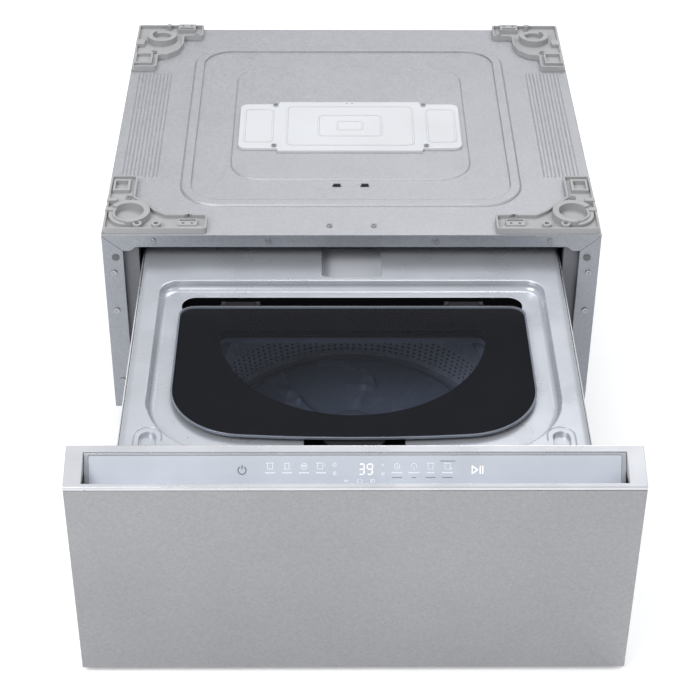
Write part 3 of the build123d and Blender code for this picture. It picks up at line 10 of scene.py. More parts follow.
import bmesh
import bpy
from mathutils import Matrix, Vector


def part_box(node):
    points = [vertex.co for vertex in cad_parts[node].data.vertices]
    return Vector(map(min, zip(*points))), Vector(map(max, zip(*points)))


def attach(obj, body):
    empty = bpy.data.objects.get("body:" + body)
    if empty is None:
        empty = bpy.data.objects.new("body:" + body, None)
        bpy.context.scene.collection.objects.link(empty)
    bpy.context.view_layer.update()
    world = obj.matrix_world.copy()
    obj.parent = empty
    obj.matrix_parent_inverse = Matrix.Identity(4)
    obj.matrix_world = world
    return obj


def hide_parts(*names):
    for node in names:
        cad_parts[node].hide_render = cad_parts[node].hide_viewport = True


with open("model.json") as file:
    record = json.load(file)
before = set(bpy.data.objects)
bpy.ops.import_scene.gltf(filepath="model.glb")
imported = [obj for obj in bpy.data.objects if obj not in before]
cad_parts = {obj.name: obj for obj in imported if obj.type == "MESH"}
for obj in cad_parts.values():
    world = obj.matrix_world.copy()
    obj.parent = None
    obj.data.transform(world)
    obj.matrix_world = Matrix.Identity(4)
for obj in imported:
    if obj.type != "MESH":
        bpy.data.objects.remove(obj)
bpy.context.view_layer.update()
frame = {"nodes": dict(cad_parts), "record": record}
nodes = frame["nodes"]

MM = 0.001


# ---------------------------------------------------------------- node helpers


def node(tree, kind, inputs=None, **settings):
    """Adds a node, with values or links given by input name."""
    made = tree.nodes.new(kind)
    for key, value in settings.items():
        setattr(made, key, value)
    for key, value in (inputs or {}).items():
        if isinstance(value, bpy.types.NodeSocket):
            tree.links.new(value, made.inputs[key])
        else:
            made.inputs[key].default_value = value
    return made


def place(tree, stretch=(1, 1, 1)):
    """The surface's own coordinates in metres, stretched per axis."""
    coords = node(tree, "ShaderNodeTexCoord")
    mapping = node(tree, "ShaderNodeMapping", {"Vector": coords.outputs["Object"], "Scale": stretch})
    return mapping.outputs["Vector"]


def noise(tree, scale, detail=3.0, roughness=0.5, stretch=(1, 1, 1)):
    """A noise value from 0 to 1 at a scale in cycles per metre."""
    made = node(
        tree,
        "ShaderNodeTexNoise",
        {
            "Vector": place(tree, stretch),
            "Scale": scale,
            "Detail": detail,
            "Roughness": roughness,
        },
    )
    return made.outputs["Fac"]


def remap(tree, value, low, high, from_low=0.3, from_high=0.7):
    """Moves a value from one range to another."""
    made = node(
        tree,
        "ShaderNodeMapRange",
        {
            "Value": value,
            "From Min": from_low,
            "From Max": from_high,
            "To Min": low,
            "To Max": high,
        },
    )
    return made.outputs["Result"]


def between(tree, value, first, second):
    """A colour between two colours."""
    made = node(tree, "ShaderNodeMix", {"Factor": value}, data_type="RGBA")
    made.inputs["A"].default_value = (*first, 1)
    made.inputs["B"].default_value = (*second, 1)
    return made.outputs["Result"]


def times(tree, first, second):
    """Multiplies two values."""
    made = node(tree, "ShaderNodeMath", {0: first, 1: second}, operation="MULTIPLY")
    return made.outputs["Value"]


def plus(tree, first, second):
    """Adds two values."""
    made = node(tree, "ShaderNodeMath", {0: first, 1: second}, operation="ADD")
    return made.outputs["Value"]


def material(name):
    """A new node material, its tree and its shader."""
    made = bpy.data.materials.new(name)
    made.use_nodes = True
    return made, made.node_tree, made.node_tree.nodes["Principled BSDF"]


def link(tree, output, shader, socket):
    """Links a value to one of a shader's inputs."""
    tree.links.new(output, shader.inputs[socket])


def relief(tree, shader, height, strength, distance, rounding=0.0):
    """Gives the shader a bump from a height, over edges that look rounded."""
    bump = node(
        tree,
        "ShaderNodeBump",
        {"Height": height, "Strength": strength, "Distance": distance},
    )
    normal = bump.outputs["Normal"]
    if rounding:
        normal = node(
            tree, "ShaderNodeBevel", {"Radius": rounding, "Normal": normal}, samples=4
        ).outputs["Normal"]
    link(tree, normal, shader, "Normal")


# ---------------------------------------------------------------- materials


def shade(colour, factor):
    """A colour made lighter or darker."""
    return tuple(min(1.0, channel * factor) for channel in colour)


def galvanised(name, colour, roughness=0.42, metallic=0.85, rounding=1.2 * MM):
    """Zinc-coated sheet: small soft spangles over a fine pebbled skin."""
    made, tree, shader = material(name)
    cells = node(
        tree,
        "ShaderNodeTexVoronoi",
        {"Vector": place(tree), "Scale": 420.0, "Randomness": 1.0},
    )
    spangle = node(tree, "ShaderNodeSeparateColor", {"Color": cells.outputs["Color"]}).outputs["Red"]
    fine = noise(tree, 1500.0, 2.0)
    cloud = noise(tree, 9.0, 3.0)
    mixed = plus(tree, times(tree, spangle, 0.5), fine)
    tone = plus(tree, mixed, times(tree, cloud, 0.35))
    value = remap(tree, tone, 0.0, 1.0, 0.55, 1.3)
    link(tree, between(tree, value, shade(colour, 0.87), shade(colour, 1.10)), shader, "Base Color")
    link(tree, remap(tree, spangle, roughness - 0.07, roughness + 0.09, 0.0, 1.0), shader, "Roughness")
    shader.inputs["Metallic"].default_value = metallic
    relief(tree, shader, fine, 0.18, 0.2 * MM, rounding)
    return made


def brushed(name, colour, roughness=0.34, streak=(1, 1, 1), metallic=1.0):
    """Steel with a fine directional or random brushing."""
    made, tree, shader = material(name)
    grain = noise(tree, 620.0, 4.0, 0.65, streak)
    cross = noise(tree, 260.0, 3.0, 0.6, (streak[1], streak[0], streak[2]))
    cloud = noise(tree, 5.0, 2.0)
    mixed = plus(tree, grain, times(tree, cross, 0.6))
    tone = plus(tree, mixed, times(tree, cloud, 0.3))
    value = remap(tree, tone, 0.0, 1.0, 0.6, 1.3)
    link(tree, between(tree, value, shade(colour, 0.80), shade(colour, 1.16)), shader, "Base Color")
    link(tree, remap(tree, grain, roughness - 0.07, roughness + 0.10), shader, "Roughness")
    shader.inputs["Metallic"].default_value = metallic
    relief(tree, shader, grain, 0.06, 0.1 * MM, 0.6 * MM)
    return made


def plastic(
    name,
    colour,
    roughness=0.4,
    grain=0.08,
    coat=0.0,
    metallic=0.0,
    rounding=0.8 * MM,
    specular=0.5,
):
    """Moulded plastic with a faint texture and slow changes of tone."""
    made, tree, shader = material(name)
    fine = noise(tree, 480.0, 2.0)
    cloud = noise(tree, 14.0, 3.0)
    value = remap(tree, cloud, 0.0, 1.0)
    link(tree, between(tree, value, shade(colour, 0.95), shade(colour, 1.04)), shader, "Base Color")
    link(tree, remap(tree, cloud, roughness - 0.03, roughness + 0.04), shader, "Roughness")
    shader.inputs["Metallic"].default_value = metallic
    shader.inputs["Specular IOR Level"].default_value = specular
    shader.inputs["Coat Weight"].default_value = coat
    shader.inputs["Coat Roughness"].default_value = 0.12
    relief(tree, shader, fine, grain, 0.04 * MM, rounding)
    return made


def paint(name, colour, roughness=0.35, metallic=0.0):
    """Powder paint with a light orange peel."""
    made, tree, shader = material(name)
    peel = noise(tree, 420.0, 2.0, 0.4)
    cloud = noise(tree, 8.0, 2.0)
    value = remap(tree, cloud, 0.0, 1.0)
    link(tree, between(tree, value, shade(colour, 0.96), shade(colour, 1.03)), shader, "Base Color")
    link(tree, remap(tree, peel, roughness - 0.05, roughness + 0.07), shader, "Roughness")
    shader.inputs["Metallic"].default_value = metallic
    relief(tree, shader, peel, 0.12, 0.25 * MM, 0.9 * MM)
    return made


def rubber(name, colour):
    """Dull rubber with a mottled bloom."""
    made, tree, shader = material(name)
    bloom = noise(tree, 60.0, 5.0, 0.7)
    fine = noise(tree, 900.0, 2.0)
    value = remap(tree, bloom, 0.0, 1.0)
    link(tree, between(tree, value, colour, shade(colour, 1.9)), shader, "Base Color")
    link(tree, remap(tree, bloom, 0.62, 0.82), shader, "Roughness")
    relief(tree, shader, fine, 0.25, 0.3 * MM, 0.8 * MM)
    return made


def cast(name, colour):
    """Sand-cast iron under thin black paint."""
    made, tree, shader = material(name)
    pits = noise(tree, 260.0, 6.0, 0.7)
    value = remap(tree, pits, 0.0, 1.0)
    link(tree, between(tree, value, shade(colour, 0.6), shade(colour, 1.3)), shader, "Base Color")
    link(tree, remap(tree, pits, 0.55, 0.85), shader, "Roughness")
    shader.inputs["Metallic"].default_value = 0.4
    relief(tree, shader, pits, 0.6, 0.8 * MM, 1.5 * MM)
    return made


MATERIALS = {
    "galvanised": galvanised("galvanised", (0.45, 0.457, 0.48), 0.54, 0.7, 2.2 * MM),
    "cabinet_steel": galvanised("cabinet_steel", (0.34, 0.355, 0.385), 0.40, 0.6),
    "dark_steel": paint("dark_steel", (0.22, 0.23, 0.24), 0.45, 0.5),
    "white_paint": paint("white_paint", (0.60, 0.61, 0.63)),
    "bracket_grey": plastic("bracket_grey", (0.362, 0.363, 0.368), 0.5, 0.1),
    "zinc_screw": brushed("zinc_screw", (0.42, 0.43, 0.45), 0.3),
    "grey_plug": plastic("grey_plug", (0.12, 0.125, 0.13), 0.5),
    "slide_steel": brushed("slide_steel", (0.58, 0.59, 0.61), 0.32, (1, 0.05, 1)),
    "black_rubber": rubber("black_rubber", (0.012, 0.012, 0.013)),
    "foot_rubber": rubber("foot_rubber", (0.014, 0.014, 0.015)),
    "white_plastic": plastic("white_plastic", (0.80, 0.80, 0.79)),
    "dark_plastic": plastic("dark_plastic", (0.015, 0.015, 0.017), 0.45, 0.15, specular=0.2),
    "ballast_iron": cast("ballast_iron", (0.06, 0.06, 0.062)),
    "silver_cover": plastic("silver_cover", (0.50, 0.52, 0.56), 0.28, 0.05, 0.15, 0.5, 1.6 * MM),
    "silver_trim": plastic("silver_trim", (0.60, 0.61, 0.64), 0.28, 0.02, 0.2, 0.6, 0.8 * MM),
    "stainless": brushed("stainless", (0.32, 0.322, 0.332), 0.36),
    # The control panel's light bluish base colour is a painted reflection of the pale room in its
    # gloss.
    "panel_glass": plastic("panel_glass", (0.66, 0.70, 0.77), 0.16, 0.0, 0.6, 0.25, 0.3 * MM),
    "board_green": plastic("board_green", (0.03, 0.14, 0.06), 0.4),
    "lid_black": plastic("lid_black", (0.010, 0.010, 0.012), 0.35, 0.01, specular=0.1),
    "tub_grey": plastic("tub_grey", (0.28, 0.30, 0.33), 0.45),
    "basket_steel": brushed("basket_steel", (0.80, 0.81, 0.83), 0.3, metallic=0.45),
    "pulsator_grey": plastic("pulsator_grey", (0.20, 0.22, 0.25), 0.25, 0.05, 0.3),
    "motor_metal": paint("motor_metal", (0.30, 0.20, 0.12), 0.4, 0.4),
    "rod_steel": brushed("rod_steel", (0.56, 0.56, 0.58), 0.28),
    "tinted_glass": plastic("tinted_glass", (0.02, 0.02, 0.022), 0.05),
}


def tinted(name, tint, gloss=0.04):
    """Clear tinted glass: light passes through darkened, and slanting surfaces reflect more."""
    made, tree, shader = material(name)
    smear = noise(tree, 30.0, 4.0, 0.6)
    clear = node(tree, "ShaderNodeBsdfTransparent")
    value = remap(tree, smear, 0.0, 1.0)
    link(tree, between(tree, value, shade(tint, 0.98), shade(tint, 1.02)), clear, "Color")
    mirror = node(tree, "ShaderNodeBsdfGlossy", {"Roughness": remap(tree, smear, gloss, gloss + 0.03)})
    facing = node(tree, "ShaderNodeLayerWeight", {"Blend": 0.5}).outputs["Facing"]
    edge = remap(tree, facing, 0.018, 0.7, 0.42, 1.0)
    mixed = node(tree, "ShaderNodeMixShader", {0: edge, 1: clear.outputs[0], 2: mirror.outputs[0]})
    link(tree, mixed.outputs[0], tree.nodes["Material Output"], "Surface")
    tree.nodes.remove(shader)
    return made


def printed(name, colour, glow=0.0, specular=0.5, scale=700.0):
    """Ink on the control panel, lightly mottled."""
    made, tree, shader = material(name)
    mottle = noise(tree, scale, 2.0)
    value = remap(tree, mottle, 0.0, 1.0)
    link(tree, between(tree, value, shade(colour, 0.94), shade(colour, 1.05)), shader, "Base Color")
    link(tree, remap(tree, mottle, 0.3, 0.45), shader, "Roughness")
    shader.inputs["Specular IOR Level"].default_value = specular
    shader.inputs["Emission Color"].default_value = (*colour, 1)
    shader.inputs["Emission Strength"].default_value = glow
    return made


PANE = tinted("lid_pane", (0.76, 0.79, 0.85))
RIM = plastic("lid_rim", (0.30, 0.31, 0.32), 0.25)
# Painted light: the notch floor gets a lighter, less metallic copy of the cover's silver, standing in
# for light reaching it under the rail.
NOTCH_PAINTED_LIGHT = plastic("notch_painted_light", (0.62, 0.64, 0.68), 0.4, 0.05, 0.0, 0.1)
PRINT_BLACK = printed("print_black", (0.012, 0.012, 0.014), 0.0, 0.0, 12.0)
PRINT_WHITE = printed("print_white", (0.95, 0.96, 0.98), 0.35)
PRINT_FAINT = printed("print_faint", (0.84, 0.86, 0.90), 0.02)
PRINT_GREY = printed("print_grey", (0.13, 0.135, 0.15))
# Painted shade: near-black for the hinge trough and the cover's walls below the dish floor round the
# lid's opening. The finger recess there is partly black plastic too.
WELL_PAINTED_SHADE = plastic("well_painted_shade", (0.004, 0.004, 0.005), 0.5, specular=0.1)
# Painted shade: a darker copy of the cabinet's galvanised steel for the side panels' folds behind the
# front flange, which lie in shade.
JAMB_PAINTED_SHADE = galvanised("jamb_painted_shade", (0.17, 0.175, 0.19), 0.45, 0.5)


for part in frame["record"]["subparts"]:
    mesh = nodes[part["node"]].data
    mesh.materials.clear()
    mesh.materials.append(MATERIALS[part["material_slot"]])


def second_finish(name, finish, inside):
    """Gives a second finish to the faces of a CAD node whose middle lies inside a zone."""
    mesh = nodes[name].data
    mesh.materials.append(finish)
    for face in mesh.polygons:
        if inside(face.center):
            face.material_index = len(mesh.materials) - 1


# The cabinet's front lies at FRONT_Y, and the floor of the cover's dish at DISH_FLOOR
DISH_FLOOR = 291 * MM
FRONT_Y = -83 * MM
NOTCH_HALF = 42 * MM
NOTCH_FRONT = FRONT_Y - 44 * MM
NOTCH_LOW, NOTCH_HIGH = 284 * MM, 289 * MM
WELL_HALF = 229.5 * MM
WELL_REAR = FRONT_Y - 60 * MM
WELL_HIGH = DISH_FLOOR - 0.5 * MM
JAMB_FRONT = FRONT_Y + 4 * MM
JAMB_HALF = 336 * MM


def in_notch(at):
    """Whether a place is on the floor of the notch at the cover's rear."""
    return abs(at.x) < NOTCH_HALF and at.y > NOTCH_FRONT and NOTCH_LOW < at.z < NOTCH_HIGH


def in_well(at):
    """Whether a place is on the cover's walls below the dish's floor, round the lid's opening."""
    return at.z < WELL_HIGH and at.y < WELL_REAR and abs(at.x) < WELL_HALF


def on_jamb(at):
    """Whether a place is on the folds behind a side panel's front flange."""
    return at.y > JAMB_FRONT and abs(at.x) < JAMB_HALF


# Painted light on the notch floor, painted shade in the well round the lid's opening.
second_finish("tub_cover", NOTCH_PAINTED_LIGHT, in_notch)
second_finish("tub_cover", WELL_PAINTED_SHADE, in_well)
# The folds behind the front flanges get the darker galvanised steel as painted shade.
for name in ("side_panel_left", "side_panel_right"):
    second_finish(name, JAMB_PAINTED_SHADE, on_jamb)
# The hinge pins in the trough get the same near-black painted shade.
nodes["lid_hinge_pins"].data.materials[0] = WELL_PAINTED_SHADE


# ---------------------------------------------------------------- mesh helpers


def mesh_piece(name, points, faces, body, finish, slot, replaced=()):
    """Makes a piece from a mesh, gives it a finish and lets it ride on a CAD body."""
    mesh = bpy.data.meshes.new(name)
    mesh.from_pydata([tuple(point) for point in points], [], faces)
    clean = bmesh.new()
    clean.from_mesh(mesh)
    bmesh.ops.recalc_face_normals(clean, faces=clean.faces)
    clean.to_mesh(mesh)
    clean.free()
    mesh.materials.append(finish)
    made = bpy.data.objects.new(name, mesh)
    bpy.context.scene.collection.objects.link(made)
    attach(made, body)
    if replaced:
        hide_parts(*replaced)
    return made


def slab(outline, z_low, z_high, hole=None):
    """Points and faces of a flat slab with an outline and, if given, a hole of as many points."""
    count = len(outline)
    points = [(x, y, z_low) for x, y in outline] + [(x, y, z_high) for x, y in outline]
    following = [(index + 1) % count for index in range(count)]
    faces = [(a, b, b + count, a + count) for a, b in enumerate(following)]
    if hole is None:
        return points, faces + [tuple(range(count))[::-1], tuple(range(count, 2 * count))]
    points += [(x, y, z_low) for x, y in hole] + [(x, y, z_high) for x, y in hole]
    inner = 2 * count
    for a, b in enumerate(following):
        faces.append((a + inner, a + inner + count, b + inner + count, b + inner))
        faces.append((a, a + inner, b + inner, b))
        faces.append((a + count, b + count, b + inner + count, a + inner + count))
    return points, faces


def rounded(corners, steps=12):
    """The outline through corners given as x, y and radius, each one rounded with an arc."""
    outline = []
    for index, (x, y, radius) in enumerate(corners):
        here = Vector((x, y))
        before = (Vector(corners[index - 1][:2]) - here).normalized()
        after = (Vector(corners[(index + 1) % len(corners)][:2]) - here).normalized()
        half = before.angle(after) / 2
        reach = radius / sin(half) * cos(half)
        centre = here + (before + after).normalized() * (radius / sin(half))
        first = here + before * reach - centre
        last = here + after * reach - centre
        swing = first.angle_signed(last)
        for step in range(steps + 1):
            turn = Matrix.Rotation(-swing * step / steps, 2)
            outline.append(centre + turn @ first)
    return outline


# A ray counts as parallel to an edge below PARALLEL, and an edge is met up to SLACK past its ends
PARALLEL = 1e-12
SLACK = 1e-6


def respaced(outline, count, middle):
    """The same outline with points at even angles about a centre, from the right anticlockwise."""
    centre = Vector(middle)
    loop = [Vector(point) for point in outline]
    spread = []
    for index in range(count):
        angle = tau * index / count
        ray = Vector((cos(angle), sin(angle)))
        best = None
        for a, b in zip(loop, loop[1:] + loop[:1]):
            edge = b - a
            across = ray.x * edge.y - ray.y * edge.x
            if abs(across) < PARALLEL:
                continue
            gap = a - centre
            along = (gap.x * edge.y - gap.y * edge.x) / across
            part = (gap.x * ray.y - gap.y * ray.x) / across
            if along > 0 and -SLACK <= part <= 1 + SLACK and (best is None or along < best):
                best = along
        spread.append(centre + ray * best)
    return spread


def soften(piece, width):
    """Rounds a piece's sharp edges."""
    bevel = piece.modifiers.new("rounding", "BEVEL")
    bevel.width = width
    bevel.segments = 3
    bevel.limit_method = "ANGLE"
    bevel.angle_limit = radians(50)
    for face in piece.data.polygons:
        face.use_smooth = True
    normals = piece.modifiers.new("normals", "WEIGHTED_NORMAL")
    normals.keep_sharp = True


# ---------------------------------------------------------------- the lid

GLASS_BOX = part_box("lid_glass")
GLASS_LOW, GLASS_TOP = GLASS_BOX[0][2], GLASS_BOX[1][2]
GLASS_HALF = (GLASS_BOX[1][0] - GLASS_BOX[0][0]) / 2
GLASS_REAR, GLASS_FRONT = GLASS_BOX[1][1], GLASS_BOX[0][1]
TUB_Y = (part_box("outer_tub")[0][1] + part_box("outer_tub")[1][1]) / 2
WINDOW_RADIUS = 174 * MM
WINDOW_REAR = TUB_Y + 4 * MM
WINDOW_STEPS = 96
LID_BOW = 15 * MM
LID_BOW_SPAN = 0.8
LID_REAR_CORNER = 20 * MM
LID_FRONT_CORNER = 96 * MM
LID_POINTS = 240
EDGE_ROUNDING = 1.3 * MM
RIM_INSET = 0.5 * MM
RIM_LOW, RIM_HIGH = GLASS_LOW + 0.6 * MM, GLASS_TOP - 1.4 * MM
PRINT_INSET = 2.2 * MM
PRINT_LOW, PRINT_HIGH = GLASS_LOW + 0.1 * MM, GLASS_LOW + 0.5 * MM


def lid_outline(inset):
    """The lid's outline, straight at the back and bowed with wide corners at the front."""
    half = GLASS_HALF - inset
    rear, front = GLASS_REAR - inset, GLASS_FRONT + inset
    side = front + LID_BOW
    bow_radius = (half * half + LID_BOW * LID_BOW) / (2 * LID_BOW)
    corners = [(half, rear, LID_REAR_CORNER - inset), (-half, rear, LID_REAR_CORNER - inset)]
    corners.append((-half, side, LID_FRONT_CORNER - inset))
    for step in range(1, 8):
        x = half * (step / 4 - 1) * LID_BOW_SPAN
        corners.append((x, front + bow_radius - sqrt(bow_radius**2 - x * x), 0.4))
    corners.append((half, side, LID_FRONT_CORNER - inset))
    return rounded(corners, 14)


def window_outline():
    """The lid's clear window: round at the front and straight at the back."""
    reach = sqrt(WINDOW_RADIUS**2 - (WINDOW_REAR - TUB_Y) ** 2)
    corner = atan2(WINDOW_REAR - TUB_Y, -reach)
    sweep = tau - 2 * corner + tau / 2
    points = []
    for step in range(WINDOW_STEPS + 1):
        angle = corner + sweep * step / WINDOW_STEPS
        points.append((WINDOW_RADIUS * cos(angle), TUB_Y + WINDOW_RADIUS * sin(angle)))
    return points


def lid_glass():
    """The lid's pane of tinted glass, with polished edges, and the black print under it."""
    middle = (0, (WINDOW_REAR + GLASS_FRONT) / 2)
    outer = respaced(lid_outline(0), LID_POINTS, middle)
    edge = respaced(lid_outline(RIM_INSET), LID_POINTS, middle)
    ink = respaced(lid_outline(PRINT_INSET), LID_POINTS, middle)
    window = respaced(window_outline(), LID_POINTS, middle)
    pane = slab(outer, GLASS_LOW, GLASS_TOP)
    rim = slab(edge, RIM_LOW, RIM_HIGH, ink)
    marks = slab(ink, PRINT_LOW, PRINT_HIGH, window)
    made = mesh_piece("lid_pane", *pane, "lid", PANE, "tinted_glass", ["lid_glass"])
    soften(made, EDGE_ROUNDING)
    mesh_piece("lid_rim", *rim, "lid", RIM, "tinted_glass")
    mesh_piece("lid_print", *marks, "lid", PRINT_BLACK, "lid_black")


# ---------------------------------------------------------------- the basket

BASKET_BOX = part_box("wash_basket")
BASKET_LOW, BASKET_TOP = BASKET_BOX[0][2], BASKET_BOX[1][2]
BASKET_RADIUS = (BASKET_BOX[1][0] - BASKET_BOX[0][0]) / 2
BASKET_WALL = 0.8 * MM
COLUMNS = 140

# The holed band ends at the bend, where the wall becomes steeper, and the ribs stand on it
BEND = BASKET_LOW + 42 * MM
RIBS_TOP = BASKET_LOW + 70 * MM
PLAIN_TOP = BASKET_LOW + 95 * MM
FOOT_INSET, FOOT_SPREAD = 16 * MM, 12 * MM
BEND_INSET, BEND_SPREAD = 4 * MM, 2.8 * MM
RIB_DEPTH = 1.5 * MM

# A hole has as many corners as the cell round it. Its half width is in columns.
HOLE_CORNERS = 8
HOLE_PITCH = 5.6 * MM
HOLE_HALF_WIDTH = 0.27
HOLE_HALF_HEIGHT = 1.55 * MM


def wall_radius(z):
    """The radius of the basket's wall at a height."""
    if z < BEND:
        return BASKET_RADIUS - FOOT_INSET + FOOT_SPREAD * (z - BASKET_LOW) / (BEND - BASKET_LOW)
    return BASKET_RADIUS - BEND_INSET + BEND_SPREAD * (z - BEND) / (BASKET_TOP - BEND)


def wall_point(column, z, lift=0.0):
    """A point of the basket's wall, lifted outwards from it."""
    angle = tau * column / COLUMNS
    radius = wall_radius(z) + lift
    return (radius * cos(angle), TUB_Y + radius * sin(angle), z)


def holed_cell(column, z_low, z_high):
    """The four-sided faces of one cell of the wall round its hole."""
    middle = (z_low + z_high) / 2
    centre, after = column + 0.5, column + 1
    hole = []
    for step in range(HOLE_CORNERS):
        angle = tau * (step + 0.5) / HOLE_CORNERS
        across = centre + HOLE_HALF_WIDTH * cos(angle)
        hole.append(wall_point(across, middle + HOLE_HALF_HEIGHT * sin(angle)))
    edge = [
        wall_point(after, middle),
        wall_point(after, z_high),
        wall_point(centre, z_high),
        wall_point(column, z_high),
        wall_point(column, middle),
        wall_point(column, z_low),
        wall_point(centre, z_low),
        wall_point(after, z_low),
    ]
    following = edge[1:] + edge[:1]
    return [(edge[k], following[k], hole[k], hole[k - 1]) for k in range(HOLE_CORNERS)]


def plain_cell(column, z_low, z_high, lift):
    """One four-sided face of the wall."""
    after = column + 1
    return (
        wall_point(column, z_low, lift),
        wall_point(after, z_low, lift),
        wall_point(after, z_high, lift),
        wall_point(column, z_high, lift),
    )


def basket():
    """The wash basket's wall: rows of punched holes below, pressed ribs above them."""
    levels = [BASKET_LOW]
    while levels[-1] < BEND - HOLE_PITCH:
        levels.append(levels[-1] + HOLE_PITCH)
    holed = len(levels) - 1
    rib_row = holed + 1
    levels += [BEND, RIBS_TOP, PLAIN_TOP, BASKET_TOP]
    cells = []
    for column in range(COLUMNS):
        for row, (z_low, z_high) in enumerate(zip(levels, levels[1:])):
            if 0 < row < holed:
                cells += holed_cell(column, z_low, z_high)
            else:
                # Every other pair of strips above the holes is pressed inwards as a rib
                lift = -RIB_DEPTH if row == rib_row and column % 4 < 2 else 0.0
                cells.append(plain_cell(column, z_low, z_high, lift))
    points = [corner for cell in cells for corner in cell]
    faces = [tuple(range(4 * k, 4 * k + 4)) for k in range(len(cells))]
    finish = MATERIALS["basket_steel"]
    made = mesh_piece("basket_wall", points, faces, "basket", finish, "basket_steel", ["wash_basket"])
    weld = made.modifiers.new("weld", "WELD")
    weld.merge_threshold = 0.02 * MM
    thick = made.modifiers.new("thickness", "SOLIDIFY")
    thick.thickness = BASKET_WALL
    thick.offset = 0


# ---------------------------------------------------------------- the pulsator

PULSATOR_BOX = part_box("pulsator")
PULSATOR_LOW = PULSATOR_BOX[0][2]
PULSATOR_RIM = (PULSATOR_BOX[1][0] - PULSATOR_BOX[0][0]) / 2
UNDERSIDE = PULSATOR_LOW + 5 * MM
RINGS, SPOKES = 70, 288

# The measures below are in millimetres, and the face's heights are above PULSATOR_LOW
FACE_RADIUS = 172
FACE_LOW, FACE_RISE = 7.0, 3.0
DOME_RADIUS, DOME_HEIGHT = 50, 17.0
FINS = 6
FIN_HEIGHT, FIN_WIDTH = 9.0, 9.0
FIN_FALL = 2.718
FIN_START, FIN_START_SLOPE = 40, 30
FIN_END, FIN_END_SLOPE = 160, 40
FIN_SWIRL = 0.35
BOSS_TURN = 0.2
BOSS_PLACE = 108
BOSS_RADIUS, BOSS_HEIGHT, BOSS_SLOPE = 15, 6.0, 2.5
HOLLOW_RADIUS, HOLLOW_DEPTH, HOLLOW_SLOPE = 9, 3.0, 2.0
RIBS, RIB_HEIGHT, RIB_SLOPE = 72, 0.7, 6
RIB_START, RIB_END = 122, 158


def clamped(value):
    """A value kept between 0 and 1."""
    return max(0.0, min(1.0, value))


def fin(r, angle):
    """The height of the nearest curved fin."""
    turn = ((angle + FIN_SWIRL * r / FACE_RADIUS) * FINS / tau) % 1.0 - 0.5
    across = turn * tau / FINS * r
    along = clamped((r - FIN_START) / FIN_START_SLOPE) * clamped((FIN_END - r) / FIN_END_SLOPE)
    return FIN_HEIGHT * along * FIN_FALL ** (-((across / FIN_WIDTH) ** 2))


def boss(r, angle):
    """The height of the nearest round boss, which has a hollow in its middle."""
    turn = (((angle + BOSS_TURN) * FINS / tau) % 1.0 - 0.5) * tau / FINS
    gap = sqrt(max(0.0, r * r + BOSS_PLACE**2 - 2 * r * BOSS_PLACE * cos(turn)))
    raised = BOSS_HEIGHT * clamped((BOSS_RADIUS - gap) / BOSS_SLOPE)
    return raised - HOLLOW_DEPTH * clamped((HOLLOW_RADIUS - gap) / HOLLOW_SLOPE)


def rib(r, angle):
    """The height of the fine ribs near the rim, which fade out at both their ends."""
    if not RIB_START < r < RIB_END:
        return 0.0
    fade = min(1.0, (r - RIB_START) / RIB_SLOPE, (RIB_END - r) / RIB_SLOPE)
    return RIB_HEIGHT * max(0.0, sin(angle * RIBS)) * fade


def face_point(radius, angle):
    """A point of the pulsator's upper face."""
    r = radius / MM
    rise = FACE_LOW + FACE_RISE * (r / FACE_RADIUS) ** 2
    if r < DOME_RADIUS:
        rise += DOME_HEIGHT * sqrt(1 - (r / DOME_RADIUS) ** 2)
    rise += fin(r, angle) + boss(r, angle) + rib(r, angle)
    return (radius * cos(angle), TUB_Y + radius * sin(angle), PULSATOR_LOW + rise * MM)


def pulsator():
    """The pulsator: a dome in the middle, six curved fins, round bosses and a ribbed rim."""
    points = [face_point(0, 0), (0, TUB_Y, UNDERSIDE)]
    for ring in range(1, RINGS + 1):
        for spoke in range(SPOKES):
            points.append(face_point(PULSATOR_RIM * ring / RINGS, tau * spoke / SPOKES))
    rim = 2 + (RINGS - 1) * SPOKES
    points += [(x, y, UNDERSIDE) for x, y, z in points[rim:]]
    faces = []
    for spoke in range(SPOKES):
        after = (spoke + 1) % SPOKES
        faces.append((0, 2 + spoke, 2 + after))
        faces.append((1, rim + SPOKES + after, rim + SPOKES + spoke))
        for ring in range(RINGS):
            near = 2 + ring * SPOKES
            far = near + SPOKES
            faces.append((near + spoke, far + spoke, far + after, near + after))
    finish = MATERIALS["pulsator_grey"]
    hidden = ["pulsator", "pulsator_cap"]
    made = mesh_piece("pulsator_face", points, faces, "pulsator", finish, "pulsator_grey", hidden)
    for face in made.data.polygons:
        face.use_smooth = True


# ---------------------------------------------------------------- the control panel's print

PANEL_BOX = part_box("control_panel")
TILT = radians(60)
PANEL_UP = Vector((0, cos(TILT), sin(TILT)))
PANEL_OUT = Vector((0, -sin(TILT), cos(TILT)))
HALF_THICKNESS = 0.75
PANEL_MIDDLE = (Vector(PANEL_BOX[0]) + Vector(PANEL_BOX[1])) / 2 + PANEL_OUT * HALF_THICKNESS * MM
MARK_LOW, MARK_HIGH = 0.02 * MM, 0.12 * MM


